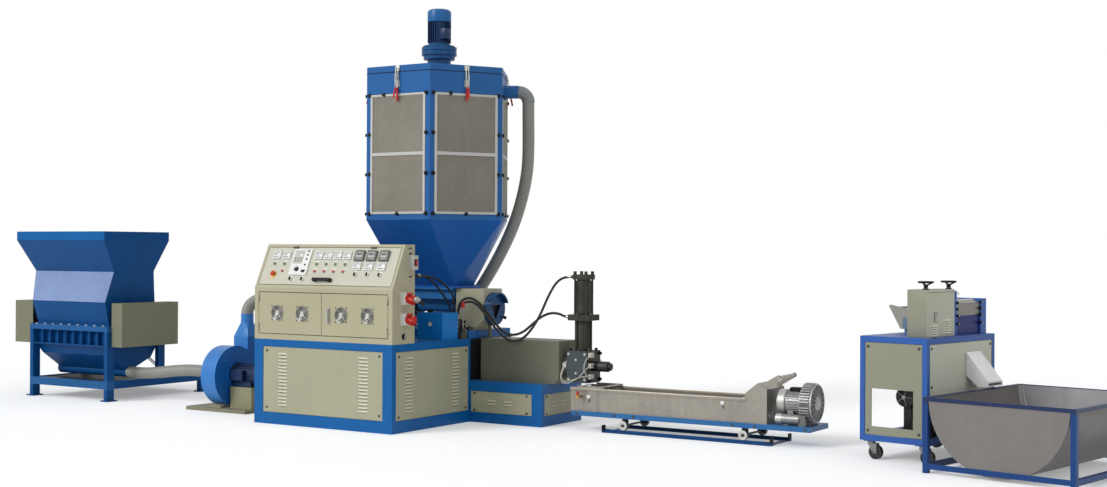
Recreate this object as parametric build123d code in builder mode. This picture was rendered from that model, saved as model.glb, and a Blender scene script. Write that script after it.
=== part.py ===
from build123d import *
import os
from math import atan2, cos, degrees, hypot, radians, sin, sqrt, tan

os.makedirs("parts", exist_ok=True)

# Polystyrene recycling line: crusher, blower, two-stage extruder with storage silo,
# cooling trough on rails, strand pelletizer and collecting bin.
# Millimetres, +Z up, +X along the line, +Y to the rear.
# The origin is on the floor under the middle of the extruder base.

# General clearances and sheet sizes
moving_gap = 6.0
slide_gap = 1.5
pin_gap = 0.5
contact_gap = 0.3
sheet = 8.0

# Extruder base
base_length = 1600.0
base_depth = 1850.0
base_height = 770.0
step_length = 790.0
step_depth = 700.0
step_height = 382.0
bed_height = 70.0
bed_depth = 690.0
bed_setback = 60.0
post_face = 105.0
post_side = 55.0
top_rail = 66.0
foot_rail = 105.0
panel_thickness = 18.0
panel_sink = 4.0
panel_gap = 3.0

# Control cabinet on the front of the base
cabinet_depth = 313.0
cabinet_front = 470.0
cabinet_height = 865.0
cabinet_slope_run = 179.0
cabinet_wall = 12.0
door_margin = 46.0
door_sill = 48.0
door_lintel = 38.0
door_thickness = 16.0
door_recess_radius = 52.0
door_recess_depth = 6.0
lid_margin = 28.0
lid_thickness = 14.0
hinge_pin_radius = 7.0

# First stage, on the raised bed
screw_y = 450.0
barrel_radius = 65.0
barrel_height = 1062.0
barrel_flange_radius = 100.0
throat_length = 465.0
throat_depth = 300.0
throat_x = 330.0
first_cover_length = 316.0
first_cover_height = 353.0
first_cover_foot = 34.0
end_disc_radius = 155.0
end_disc_thickness = 34.0

# Second stage and screen changer
second_cover_length = 855.0
second_cover_depth = 314.0
second_cover_height = 388.0
second_cover_gap = 47.0
die_axis_y = 490.0
die_axis_height = 552.0
die_block_length = 226.0
die_block_depth = 240.0
die_block_height = 286.0
die_block_bottom = 404.0
die_neck_length = 54.0
slide_width = 60.0
slide_depth = 70.0
slide_length = 385.0
cylinder_radius = 60.0
cylinder_bore = 46.0
cylinder_cap = 148.0
tie_rod_spread = 57.0
tie_rod_radius = 9.0
column_spread = 48.0
column_radius = 13.0
port_reach = 45.0
cylinder_length = 316.0
piston_rod_radius = 24.0
cylinder_base = 960.0
cylinder_plate = 53.0
cylinder_plate_width = 220.0
cylinder_plate_depth = 190.0

# Storage silo
silo_x = 265.0
silo_radius = 733.0
silo_wall = 10.0
silo_foot_length = 622.0
funnel_top = 1866.0
throat_flange = 20.0
silo_ring_height = 50.0
mesh_height = 1116.0
silo_band_height = 198.0
silo_lid_height = 62.0
silo_post = 46.0
mesh_frame_width = 24.0
mesh_frame_depth = 22.0
motor_stand_radius = 175.0

# Crusher
crusher_x = -3880.0
crusher_front = -495.0
crusher_length = 1214.0
crusher_depth = 1397.0
crusher_body_depth = 786.0
crusher_leg = 50.0
crusher_leg_depth = 92.0
crusher_beam_height = 80.0
crusher_beam_floor = 125.0
crusher_top = 775.0
crusher_top_rail = 55.0
foot_plate = 12.0
rotor_radius = 165.0
rotor_y = -160.0
suction_radius = 54.0
suction_height = 284.0

# Blower
blower_x = -1745.0
blower_y = -290.0
blower_width = 190.0
blower_radius = 280.0
blower_height = 360.0
scroll_reach = 338.0
duct_width = 178.0
duct_radius = 59.0
duct_collar = 63.0
elbow_radius = 140.0

# Cooling trough
trough_y = 440.0
trough_x = 1880.0
tank_length = 1690.0
tank_width = 360.0
tank_height = 190.0
tank_wall = 8.0
end_box_length = 190.0
carriage_length = 2265.0
carriage_width = 400.0
carriage_beam = 42.0
rail_height = 30.0
rail_length = 1600.0
rail_start = 335.0
trolley_wheel_radius = 42.0
trolley_wheel_width = 26.0
ring_blower_radius = 168.0

# Strand pelletizer, on casters and turned a little to the line
pelletizer_x = 5221.0
pelletizer_y = -138.0
station_turn = -11.5
table_width = 574.0
table_depth = 1070.0
table_height = 948.0
table_floor = 146.0
table_post = 42.0
caster_radius = 55.0
caster_width = 34.0
caster_trail = 38.0

# Collecting bin
bin_gap = 134.0
bin_lead = 306.0
bin_length = 1140.0
bin_depth = 1510.0
bin_height = 548.0
bin_angle = 40.0
bin_rim = 28.0

# Frames of the stations: the line itself and the two turned stations
line = Plane.XY
turn_dir = (cos(radians(station_turn)), sin(radians(station_turn)), 0)
pelletizer = Plane(origin=(pelletizer_x, pelletizer_y, 0), x_dir=turn_dir, z_dir=(0, 0, 1))


def write(builder, label, station=line):
    """Sets a finished sub-part on its station and writes it."""
    with BuildPart(station) as placed:
        add(builder.part)
    placed.part.label = label
    export_step(placed.part, f"parts/{label}.step")


def block(x0, x1, y0, y1, z0, z1, mode=Mode.ADD):
    """A block between two corners, in the builder that is open."""
    with Locations(((x0 + x1) / 2, (y0 + y1) / 2, (z0 + z1) / 2)):
        Box(x1 - x0, y1 - y0, z1 - z0, mode=mode)


def rod(start, end, radius, mode=Mode.ADD):
    """A round bar between two points, in the builder that is open."""
    axis = Vector(*end) - Vector(*start)
    with BuildSketch(Plane(origin=start, z_dir=axis)) as section:
        Circle(radius)
    extrude(section.sketch, amount=axis.length, mode=mode)


# Extruder base: a welded housing with pockets for the panels
base_left = -base_length / 2
base_right = base_length / 2
base_front = -base_depth / 2
base_back = base_depth / 2
step_right = base_right + step_length
step_front = base_back - step_depth
bed_front = base_back - bed_depth - 25
bed_top = base_height + bed_height
pocket = panel_thickness + panel_sink
panel_low = foot_rail
panel_high = base_height - top_rail
step_low = 92.0
step_high = step_height - step_low

# Each panel: low corner, high corner and outward direction, as its pocket stands
panel_walls = [
    (base_left + post_face, base_right - post_face, panel_low, panel_high, "front"),
    (base_left + post_face, base_right - post_face, panel_low, panel_high, "back"),
    (base_front + post_side, base_back - post_side, panel_low, panel_high, "left"),
    (base_front + post_side, step_front - post_side / 4, panel_low, panel_high, "right"),
    (base_right + post_side / 4, step_right - post_face, step_low, step_high, "step_front"),
    (base_right + post_side / 4, step_right - post_face, step_low, step_high, "back"),
    (step_front + post_side, base_back - post_side, step_low, step_high, "step_right"),
]
wall_faces = {
    "front": ("y", base_front, 1),
    "back": ("y", base_back, -1),
    "left": ("x", base_left, 1),
    "right": ("x", base_right, -1),
    "step_front": ("y", step_front, 1),
    "step_right": ("x", step_right, -1),
}


def wall_block(low, high, z0, z1, wall, start, end, mode=Mode.ADD):
    """A block in a wall of the base, from depth start to depth end behind its face."""
    axis, face, inward = wall_faces[wall]
    near, far = sorted((face + inward * start, face + inward * end))
    if axis == "y":
        block(low, high, near, far, z0, z1, mode)
    else:
        block(near, far, low, high, z0, z1, mode)


with BuildPart() as machine_base:
    block(base_left, base_right, base_front, base_back, 0, base_height)
    block(base_right, step_right, step_front, base_back, 0, step_height)
    block(base_left + bed_setback, base_right, bed_front, base_back - 25, base_height, bed_top)
    for low, high, z0, z1, wall in panel_walls:
        wall_block(low, high, z0, z1, wall, 0, pocket, Mode.SUBTRACT)

with BuildPart() as base_panels:
    for low, high, z0, z1, wall in panel_walls:
        low, high = low + panel_gap, high - panel_gap
        wall_block(low, high, z0 + panel_gap, z1 - panel_gap, wall, panel_sink, pocket)

# Control cabinet: a folded shell with two door openings and a sloping lid opening
cabinet_back = base_front + cabinet_depth
cabinet_floor = base_height
slope_foot = cabinet_floor + cabinet_front
cabinet_top = cabinet_floor + cabinet_height
slope_y = base_front + cabinet_slope_run
slope_rise = cabinet_height - cabinet_front
slope_length = hypot(cabinet_slope_run, slope_rise)
slope_dir = (0, cabinet_slope_run / slope_length, slope_rise / slope_length)
slope_out = (0, -slope_dir[2], slope_dir[1])
console = Plane(origin=(0, base_front, slope_foot), x_dir=(1, 0, 0), z_dir=slope_out)
door_low = cabinet_floor + door_sill
door_high = slope_foot - door_lintel
door_left = base_left + door_margin
door_right = base_right - door_margin

with BuildPart() as cabinet_shell:
    with BuildSketch(Plane.YZ.offset(base_left)) as profile:
        with BuildLine():
            Polyline(
                (base_front, cabinet_floor),
                (base_front, slope_foot),
                (slope_y, cabinet_top),
                (cabinet_back, cabinet_top),
                (cabinet_back, cabinet_floor),
                close=True,
            )
        make_face()
    extrude(amount=base_length)
    with BuildSketch(Plane.YZ.offset(base_left + cabinet_wall)):
        offset(profile.sketch_local, amount=-cabinet_wall, kind=Kind.INTERSECTION)
    extrude(amount=base_length - 2 * cabinet_wall, mode=Mode.SUBTRACT)
    block(door_left, door_right, base_front - 1, base_front + cabinet_wall + 1, door_low, door_high,
          Mode.SUBTRACT)
    with BuildSketch(console.offset(1)):
        with Locations((0, slope_length / 2)):
            Rectangle(base_length - 2 * lid_margin, slope_length - 2 * lid_margin)
    extrude(amount=-cabinet_wall - 2, mode=Mode.SUBTRACT)
    # Switch box and two plug sockets on the right side
    block(base_right, base_right + 55, base_front + 222, base_front + 290, 1415, 1540)
    for z in (1165, 985):
        block(base_right, base_right + 30, base_front + 118, base_front + 218, z - 50, z + 50)
        rod((base_right + 30, base_front + 168, z), (base_right + 105, base_front + 168, z - 22), 36)


def door(side):
    """One cabinet door with its two round fan seats and its hinge knuckles."""
    hinge_edge = door_left if side < 0 else door_right
    near = hinge_edge - side * moving_gap
    far = side * moving_gap / 2
    x0, x1 = sorted((near, far))
    z0, z1 = door_low + moving_gap, door_high - moving_gap
    block(x0, x1, base_front, base_front + door_thickness, z0, z1)
    for share in (0.3, 0.7):
        spot = (x0 + (x1 - x0) * share, base_front, z0 + (z1 - z0) * 0.5)
        with BuildSketch(Plane(origin=spot, x_dir=(1, 0, 0), z_dir=(0, -1, 0))) as seat:
            Circle(door_recess_radius)
        extrude(seat.sketch, amount=-door_recess_depth, mode=Mode.SUBTRACT)
    for height in (z0 + 45, z1 - 45):
        pin = (near, base_front - hinge_pin_radius + 1)
        rod((*pin, height - 22), (*pin, height + 22), hinge_pin_radius)


with BuildPart() as cabinet_door_left:
    door(-1)

with BuildPart() as cabinet_door_right:
    door(1)
    # Recessed lever handle beside the middle seam
    handle_x = 82.0
    block(handle_x - 17, handle_x + 17, base_front - 6, base_front, door_low + 108, door_low + 258)
    block(handle_x - 9, handle_x + 9, base_front - 26, base_front - 6, door_low + 122, door_low + 246)

# Console lid and what it carries
lid_width = base_length - 2 * lid_margin - 2 * moving_gap
lid_span = slope_length - 2 * lid_margin - 2 * moving_gap
lid_low = lid_margin + moving_gap
lid_hinge_t = lid_low + lid_span
with BuildPart() as console_lid:
    with BuildSketch(console):
        with Locations((0, slope_length / 2)):
            Rectangle(lid_width, lid_span)
    extrude(amount=-lid_thickness)
    # Hinge knuckles on the upper edge
    for x in (-lid_width * 0.29, lid_width * 0.3):
        start = console.from_local_coords((x - 30, lid_hinge_t, hinge_pin_radius - 1))
        end = console.from_local_coords((x + 30, lid_hinge_t, hinge_pin_radius - 1))
        rod(tuple(start), tuple(end), hinge_pin_radius)

meter_rows = [
    (-655, 250), (-575, 250), (-262, 250), (-182, 250), (-102, 250), (-22, 250),
    (225, 190), (335, 190), (445, 190),
]
controller_row = [(165, 285), (290, 285), (415, 285)]
button_rows = [(x, t) for t in (205, 160) for x in (-640, -560, -262, -182, -102, -22)]
knob_row = [(225, 120), (335, 120), (445, 120), (-510, 110), (-400, 110)]
with BuildPart() as console_instruments:
    with BuildSketch(console):
        with Locations(*meter_rows):
            Rectangle(64, 60)
        with Locations((-400, 232)):
            Rectangle(112, 190)
    extrude(amount=14)
    with BuildSketch(console):
        with Locations(*controller_row):
            Rectangle(78, 78)
    extrude(amount=20)
    with BuildSketch(console):
        with Locations(*button_rows, *knob_row):
            Circle(11)
    extrude(amount=16)
    with BuildSketch(console):
        with Locations((-640, 120)):
            Circle(24)
    extrude(amount=30)
    # Lid handle: a bow on two feet
    with BuildSketch(console):
        with Locations((-190, 62), (-50, 62)):
            Rectangle(20, 22)
    extrude(amount=26)
    with BuildSketch(console.offset(20)):
        with Locations((-120, 62)):
            SlotOverall(164, 22)
    extrude(amount=14)

# Hydraulic tank, valve manifold and valve lever
tank_box = (480, 775, -160, 80)
with BuildPart() as hydraulic_tank:
    block(*tank_box, base_height, base_height + 245)
    fillet(hydraulic_tank.edges().filter_by(Axis.Z), 12)
    gauge = (642, tank_box[2], base_height + 146)
    rod(gauge, (gauge[0], gauge[1] - 10, gauge[2]), 20)

manifold_left = 632.0
manifold_right = 750.0
manifold_front = 115.0
manifold_back = 198.0
manifold_top = base_height + 178.0
lever_x = manifold_right + 30.0
lever_y = manifold_front + 30.0
lever_height = base_height + 88.0
with BuildPart() as valve_manifold:
    block(manifold_left, manifold_right, manifold_front, manifold_back, base_height + 30, manifold_top)
    block(manifold_left - 10, lever_x + 17, manifold_front - 15, manifold_back - 10, base_height, base_height + 60)
    # Suction stub towards the tank
    rod((manifold_left + 30, tank_box[3], base_height + 135), (manifold_left + 30, manifold_front, base_height + 135),
        16)
    # Clevis of the valve lever
    for side in (-1, 1):
        ear = lever_y + side * 15
        block(lever_x - 14, lever_x + 14, ear - 5, ear + 5, base_height + 60, lever_height + 14)
    rod((lever_x, lever_y - 22, lever_height), (lever_x, lever_y + 22, lever_height), 5)

with BuildPart() as valve_lever:
    rod((lever_x, lever_y - 8, lever_height), (lever_x, lever_y + 8, lever_height), 13)
    rod((lever_x, lever_y, lever_height), (lever_x, lever_y, lever_height + 205), 6)
    rod((lever_x, lever_y, lever_height + 200), (lever_x, lever_y, lever_height + 246), 16)
    rod((lever_x, lever_y - 9, lever_height), (lever_x, lever_y + 9, lever_height), 5 + pin_gap,
        Mode.SUBTRACT)

# First stage: drive behind the cabinet, barrel, feed housing, cover and end disc
throat_left = throat_x - throat_length / 2
throat_right = throat_x + throat_length / 2
throat_front = screw_y - throat_depth / 2
throat_back = screw_y + throat_depth / 2
flange_rim = 45.0
throat_top = barrel_height + barrel_radius + 104.0
housing_floor = barrel_height + barrel_radius - 2.0
flange_plate = 14.0
foot_left = silo_x - silo_foot_length / 2 - flange_rim
cover_left = throat_right + 26.0
cover_right = cover_left + first_cover_length
cover_low = bed_top + first_cover_foot
cover_top = cover_low + first_cover_height
cover_chamfer = 75.0
drive_right = throat_left - 200.0
first_cover_outline = [
    (cover_left, cover_low),
    (cover_left, cover_top),
    (cover_right, cover_top),
    (cover_right, cover_low + cover_chamfer),
    (cover_right - cover_chamfer, cover_low),
]

with BuildPart() as first_extruder:
    rod((drive_right, screw_y, barrel_height), (cover_left, screw_y, barrel_height), barrel_radius)
    rod((drive_right, screw_y, barrel_height), (drive_right + 60, screw_y, barrel_height),
        barrel_flange_radius)
    rod((throat_left - 95, screw_y, barrel_height), (throat_left - 40, screw_y, barrel_height),
        barrel_flange_radius)
    # Feed housing over the barrel, on a narrower throat
    block(throat_left, throat_right, throat_front, throat_back, housing_floor, throat_top)
    block(throat_left + 60, throat_right - 60, screw_y - barrel_radius, screw_y + barrel_radius,
          barrel_height, housing_floor)
    # Bolting frame under the silo flange
    block(foot_left, throat_right + 20, throat_front - flange_rim, throat_back + flange_rim,
          throat_top - flange_plate, throat_top)
    # Gearbox and motor
    block(drive_right - 400, drive_right, screw_y - 150, screw_y + 150, bed_top, barrel_height + 140)
    rod((drive_right - 700, screw_y, barrel_height - 30), (drive_right - 400, screw_y, barrel_height - 30), 125)
    block(drive_right - 660, drive_right - 440, screw_y - 110, screw_y + 110, bed_top, barrel_height - 120)

with BuildPart() as first_stage_cover:
    with BuildSketch(Plane.XZ.offset(-throat_back)):
        with BuildLine():
            Polyline(*first_cover_outline, close=True)
        make_face()
    extrude(amount=throat_depth)
    for x in (cover_left + 40, cover_right - 190):
        block(x, x + 60, throat_front + 30, throat_back - 30, bed_top, cover_low)

disc_height = cover_low + 166.0
with BuildPart() as end_disc:
    rod((cover_right, screw_y, disc_height), (cover_right + end_disc_thickness, screw_y, disc_height),
        end_disc_radius)
    # Hood over the sight opening: a half ring that stands out of the disc
    with BuildSketch(Plane.YZ.offset(cover_right + end_disc_thickness)):
        with Locations((screw_y, disc_height)):
            Circle(end_disc_radius)
            Circle(end_disc_radius - 16, mode=Mode.SUBTRACT)
        with Locations((screw_y, disc_height - end_disc_radius / 2 + 25)):
            Rectangle(2 * end_disc_radius + 2, end_disc_radius + 50, mode=Mode.SUBTRACT)
    extrude(amount=44)
    # Triangular sight opening below the hood
    with BuildSketch(Plane.YZ.offset(cover_right + end_disc_thickness)):
        with BuildLine():
            Polyline(
                (screw_y - 78, disc_height + 36),
                (screw_y + 78, disc_height + 36),
                (screw_y, disc_height - 104),
                close=True,
            )
        make_face()
    extrude(amount=-24, mode=Mode.SUBTRACT)

# Second stage: cover on the step, with the collar that takes the melt from the first stage
second_left = base_right + second_cover_gap
second_right = second_left + second_cover_length
second_front = step_front + 115.0
second_back = second_front + second_cover_depth
second_top = step_height + second_cover_height
with BuildPart() as second_stage_cover:
    with BuildSketch(Plane.XZ.offset(-second_back)):
        with BuildLine():
            Polyline(
                (second_left, step_height),
                (second_left, second_top),
                (second_right, second_top),
                (second_right, step_height + 56),
                (second_right - 56, step_height),
                close=True,
            )
        make_face()
    extrude(amount=second_cover_depth)
    # Melt pipe that comes down from the first stage
    pipe_x = second_left + 24
    rod((pipe_x, screw_y, second_top - 5), (pipe_x, screw_y, cover_low + cover_chamfer), 17)
    with BuildSketch(Plane.XZ.offset(-throat_back)):
        with BuildLine():
            Polyline(*first_cover_outline, close=True)
        make_face()
    extrude(amount=throat_depth, mode=Mode.SUBTRACT)

# Die block with its neck, its nozzle and the slot of the screen slide
die_x = second_right + die_neck_length + die_block_length / 2
die_left = die_x - die_block_length / 2
die_right = die_x + die_block_length / 2
die_top = die_block_bottom + die_block_height
with BuildPart() as die_block:
    block(die_left, die_right, die_axis_y - die_block_depth / 2, die_axis_y + die_block_depth / 2,
          die_block_bottom, die_top)
    chamfer(die_block.edges().filter_by(Axis.Z), 10)
    rod((second_right, die_axis_y, die_axis_height), (die_left, die_axis_y, die_axis_height), 82)
    rod((die_right, die_axis_y, die_axis_height), (die_right + 44, die_axis_y, die_axis_height), 46)
    rod((die_right + 44, die_axis_y, die_axis_height), (die_right + 182, die_axis_y, die_axis_height), 34)
    fillet(die_block.edges().filter_by(GeomType.CIRCLE).sort_by(Axis.X)[-1], 10)
    block(die_x - slide_width / 2 - slide_gap, die_x + slide_width / 2 + slide_gap,
          die_axis_y - slide_depth / 2 - slide_gap, die_axis_y + slide_depth / 2 + slide_gap,
          die_block_bottom - 1, die_top + 1, Mode.SUBTRACT)

slide_top = cylinder_base - 15.0
slide_bottom = slide_top - slide_length
piston_top = cylinder_base + cylinder_plate + cylinder_length - 40.0
with BuildPart() as screen_slide:
    block(die_x - slide_width / 2, die_x + slide_width / 2, die_axis_y - slide_depth / 2,
          die_axis_y + slide_depth / 2, slide_bottom, slide_top)
    rod((die_x, die_axis_y, slide_top), (die_x, die_axis_y, piston_top), piston_rod_radius)

tube_bottom = cylinder_base + cylinder_plate
tube_top = tube_bottom + cylinder_length
with BuildPart() as screen_cylinder:
    block(die_x - cylinder_plate_width / 2, die_x + cylinder_plate_width / 2,
          die_axis_y - cylinder_plate_depth / 2, die_axis_y + cylinder_plate_depth / 2,
          cylinder_base, tube_bottom)
    rod((die_x, die_axis_y, tube_bottom), (die_x, die_axis_y, tube_top), cylinder_radius)
    # Square cap, drawn down on the tube by four tie rods with hexagon nuts
    block(die_x - cylinder_cap / 2, die_x + cylinder_cap / 2, die_axis_y - cylinder_cap / 2,
          die_axis_y + cylinder_cap / 2, tube_top, tube_top + 45)
    for sx in (-1, 1):
        for sy in (-1, 1):
            spot = (die_x + sx * tie_rod_spread, die_axis_y + sy * tie_rod_spread)
            rod((*spot, tube_bottom), (*spot, tube_top), tie_rod_radius)
            with BuildSketch(Plane.XY.offset(tube_top + 45)):
                with Locations(spot):
                    RegularPolygon(radius=tie_rod_radius + 8, side_count=6)
            extrude(amount=29)
    rod((die_x, die_axis_y, tube_bottom), (die_x, die_axis_y, tube_top - 20), cylinder_bore, Mode.SUBTRACT)
    rod((die_x, die_axis_y, cylinder_base - 1), (die_x, die_axis_y, tube_bottom + 1),
        piston_rod_radius + pin_gap, Mode.SUBTRACT)
    # Columns that carry the cylinder on the die block
    for sx in (-1, 1):
        for sy in (-1, 1):
            foot = (die_x + sx * column_spread, die_axis_y + sy * column_spread)
            rod((*foot, die_top), (*foot, cylinder_base), column_radius)
    # Oil ports towards the hoses
    rod((die_x - cylinder_cap / 2 - port_reach, die_axis_y, tube_top + 22), (die_x, die_axis_y, tube_top + 22), 14)
    rod((die_x - cylinder_plate_width / 2 - 26, die_axis_y, cylinder_base + 26),
        (die_x - cylinder_plate_width / 2 + 4, die_axis_y, cylinder_base + 26), 14)

# Silo: hexagon to rectangle funnel
silo_center = (silo_x, screw_y)
ring_top = funnel_top + silo_ring_height
mesh_top = ring_top + mesh_height
band_top = mesh_top + silo_band_height
lid_top = band_top + silo_lid_height


def hexagon_corners(radius):
    """The six corners round the silo's axis, the first one towards +X."""
    return [
        (silo_center[0] + radius * cos(radians(60 * i)), silo_center[1] + radius * sin(radians(60 * i)))
        for i in range(6)
    ]


def funnel_body(radius, length, depth, low, high):
    """A closed body from a rectangle at the low height to a hexagon at the high one."""
    top = [Vector(x, y, high) for x, y in hexagon_corners(radius)]
    foot = [
        Vector(silo_center[0] + sx * length / 2, silo_center[1] + sy * depth / 2, low)
        for sx, sy in ((1, 1), (-1, 1), (-1, -1), (1, -1))
    ]
    back_right, back_left, front_left, front_right = foot
    loops = [
        top[::-1],
        foot,
        [top[0], top[1], back_right],
        [top[1], top[2], back_left, back_right],
        [top[2], top[3], back_left],
        [top[3], front_left, back_left],
        [top[3], top[4], front_left],
        [top[4], top[5], front_right, front_left],
        [top[5], top[0], front_right],
        [top[0], back_right, front_right],
    ]
    faces = [Face(Wire.make_polygon(loop)) for loop in loops]
    return Solid(Shell(faces))


funnel_foot = throat_top + throat_flange
funnel_rise = funnel_top - funnel_foot
side_slope = (silo_radius - silo_foot_length / 2) / funnel_rise
front_slope = (silo_radius * sqrt(3) / 2 - throat_depth / 2) / funnel_rise
with BuildPart() as silo_funnel:
    add(funnel_body(silo_radius, silo_foot_length, throat_depth, funnel_foot, funnel_top))
    add(
        funnel_body(
            silo_radius - silo_wall + side_slope,
            silo_foot_length - 2 * silo_wall - 2 * side_slope,
            throat_depth - 2 * silo_wall - 2 * front_slope,
            funnel_foot - 1,
            funnel_top + 1,
        ),
        mode=Mode.SUBTRACT,
    )
    with BuildSketch(Plane.XY.offset(throat_top)):
        with Locations(silo_center):
            Rectangle(silo_foot_length + 2 * flange_rim, throat_depth + 2 * flange_rim)
            Rectangle(silo_foot_length - 2 * silo_wall, throat_depth - 2 * silo_wall, mode=Mode.SUBTRACT)
    extrude(amount=throat_flange)

spigot_length = 130.0
spigot_bend = 95.0
spigot_out = Vector(cos(radians(30)), sin(radians(30)), 0)
spigot_height = mesh_top + silo_band_height * 0.36
spigot_face = Vector(*silo_center, spigot_height) + spigot_out * (silo_radius * sqrt(3) / 2)
spigot_root = spigot_face - spigot_out * silo_wall
spigot_mouth = spigot_face + spigot_out * spigot_length
spigot_pivot = spigot_mouth - Vector(0, 0, spigot_bend)
spigot_end = spigot_pivot + spigot_out * spigot_bend
with BuildPart() as silo_frame:
    # Lower ring and upper band
    for low, height in ((funnel_top, silo_ring_height), (mesh_top, silo_band_height)):
        with BuildSketch(Plane.XY.offset(low)):
            with Locations(silo_center):
                RegularPolygon(silo_radius, 6)
                RegularPolygon(silo_radius - silo_wall * 2, 6, mode=Mode.SUBTRACT)
        extrude(amount=height)
    # Corner posts, folded to the hexagon's angle
    with BuildSketch(Plane.XY.offset(ring_top)) as posts:
        with Locations(silo_center):
            RegularPolygon(silo_radius, 6)
            RegularPolygon(silo_radius - silo_wall * 2, 6, mode=Mode.SUBTRACT)
        for i in range(6):
            with Locations(Location((*silo_center, 0), 60 * i + 30)):
                with Locations((silo_radius * sqrt(3) / 2, 0)):
                    Rectangle(120, silo_radius - 2 * silo_post, mode=Mode.SUBTRACT)
    extrude(amount=mesh_height)
    # Inlet spigot on the rear right face
    rod(tuple(spigot_root), tuple(spigot_mouth), duct_collar)
    with BuildSketch(Plane(origin=tuple(spigot_mouth), z_dir=tuple(spigot_out))):
        Circle(duct_radius)
    revolve(axis=Axis(tuple(spigot_pivot), (-spigot_out.Y, spigot_out.X, 0)), revolution_arc=90)

with BuildPart() as mesh_panels:
    panel_width = silo_radius - 2 * silo_post - 2 * panel_gap
    face_distance = silo_radius * sqrt(3) / 2
    for i in range(6):
        out = Vector(cos(radians(60 * i + 30)), sin(radians(60 * i + 30)), 0)
        foot = Vector(*silo_center, ring_top + panel_gap) + out * (face_distance - mesh_frame_depth + 6)
        wall = Plane(origin=tuple(foot), x_dir=(-out.Y, out.X, 0), z_dir=tuple(out))
        with BuildSketch(wall):
            with Locations((0, (mesh_height - 2 * panel_gap) / 2)):
                Rectangle(panel_width, mesh_height - 2 * panel_gap)
                for side in (-1, 1):
                    with Locations((0, side * (mesh_height / 4 - 3))):
                        Rectangle(panel_width - 2 * mesh_frame_width,
                                  mesh_height / 2 - mesh_frame_width * 1.5, mode=Mode.SUBTRACT)
        extrude(amount=mesh_frame_depth)
        # Wire cloth inside the frame
        with BuildSketch(wall.offset(8)):
            with Locations((0, (mesh_height - 2 * panel_gap) / 2)):
                Rectangle(panel_width - mesh_frame_width, mesh_height - mesh_frame_width)
        extrude(amount=4)

with BuildPart() as silo_lid:
    with BuildSketch(Plane.XY.offset(band_top)):
        with Locations(silo_center):
            RegularPolygon(silo_radius, 6)
    extrude(amount=silo_lid_height)
    with BuildSketch(Plane.XY.offset(band_top)):
        with Locations(silo_center):
            RegularPolygon(silo_radius - 2 * silo_wall, 6)
    extrude(amount=silo_lid_height - 2 * silo_wall, mode=Mode.SUBTRACT)

# Toggle latches, one at the middle of each face
with BuildPart() as lid_latches:
    for i in range(6):
        out = Vector(cos(radians(60 * i + 30)), sin(radians(60 * i + 30)), 0)
        foot = Vector(*silo_center, band_top) + out * face_distance
        side = Vector(-out.Y, out.X, 0)
        shift = side * 150 if i == 0 else Vector(0, 0, 0)
        latch = Plane(origin=tuple(foot + shift), x_dir=tuple(side), z_dir=tuple(out))
        with BuildSketch(latch):
            with Locations((0, -110)):
                Rectangle(44, 60)
            with Locations((0, 32)):
                Rectangle(40, 22)
        extrude(amount=6)
        with BuildSketch(latch.offset(6)):
            with Locations((-14, -28), (14, -28)):
                Rectangle(7, 140)
            with Locations((0, -110)):
                Rectangle(22, 60)
            with Locations((0, 38)):
                Rectangle(35, 8)
            with Locations((0, -95)):
                Rectangle(35, 8)
        extrude(amount=10)
        with BuildSketch(latch.offset(8)):
            with Locations((0, -205)):
                Rectangle(16, 130)
        extrude(amount=9)

with BuildPart() as agitator_motor:
    for low, high, radius in ((0, 24, 120), (24, 50, 150), (50, 96, 168), (96, 132, 150), (132, 162, 112)):
        rod((*silo_center, lid_top + low), (*silo_center, lid_top + high), radius)
    rod((*silo_center, lid_top + 162), (*silo_center, lid_top + 480), 98)
    for angle in range(0, 360, 20):
        fin = Plane(origin=(*silo_center, lid_top + 172), x_dir=(cos(radians(angle)), sin(radians(angle)), 0))
        with BuildSketch(fin):
            with Locations((100, 0)):
                Rectangle(24, 6)
        extrude(amount=300)
    rod((*silo_center, lid_top + 480), (*silo_center, lid_top + 600), 114)
    fillet(agitator_motor.faces().sort_by(Axis.Z)[-1].edges(), 30)

# Crusher frame: long lower frame, upper posts and the top rails that carry the chamber
crusher_left = crusher_x - crusher_length / 2
crusher_right = crusher_x + crusher_length / 2
crusher_rear = crusher_front + crusher_depth
body_rear = crusher_front + crusher_body_depth
beam_top = crusher_beam_floor + crusher_beam_height
rail_low = crusher_top - crusher_top_rail
with BuildPart() as crusher_frame:
    for x in (crusher_left, crusher_right - crusher_leg):
        block(x, x + crusher_leg, crusher_front, crusher_front + crusher_leg_depth, foot_plate, crusher_top)
        block(x, x + crusher_leg, crusher_rear - crusher_leg_depth, crusher_rear, foot_plate, beam_top)
        block(x, x + crusher_leg, body_rear - crusher_leg_depth, body_rear, beam_top, crusher_top)
        block(x, x + crusher_leg, crusher_front, crusher_rear, crusher_beam_floor, beam_top)
        block(x, x + crusher_leg, crusher_front, body_rear, rail_low, crusher_top)
        for y in (crusher_front - 20, crusher_rear - crusher_leg_depth - 20):
            block(x - 30, x + crusher_leg + 30, y, y + crusher_leg_depth + 40, 0, foot_plate)
    for y in (crusher_front, crusher_rear - crusher_leg):
        block(crusher_left, crusher_right, y, y + crusher_leg, crusher_beam_floor, beam_top)
    for y in (crusher_front, body_rear - crusher_leg):
        block(crusher_left, crusher_right, y, y + crusher_leg, rail_low, crusher_top)
    block(crusher_left, crusher_right, body_rear - crusher_leg_depth, body_rear, crusher_beam_floor, beam_top)
    # Floor plate in the lower frame
    block(crusher_left + crusher_leg, crusher_right - crusher_leg, crusher_front + crusher_leg,
          crusher_rear - crusher_leg, beam_top - 18, beam_top - 10)

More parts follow.
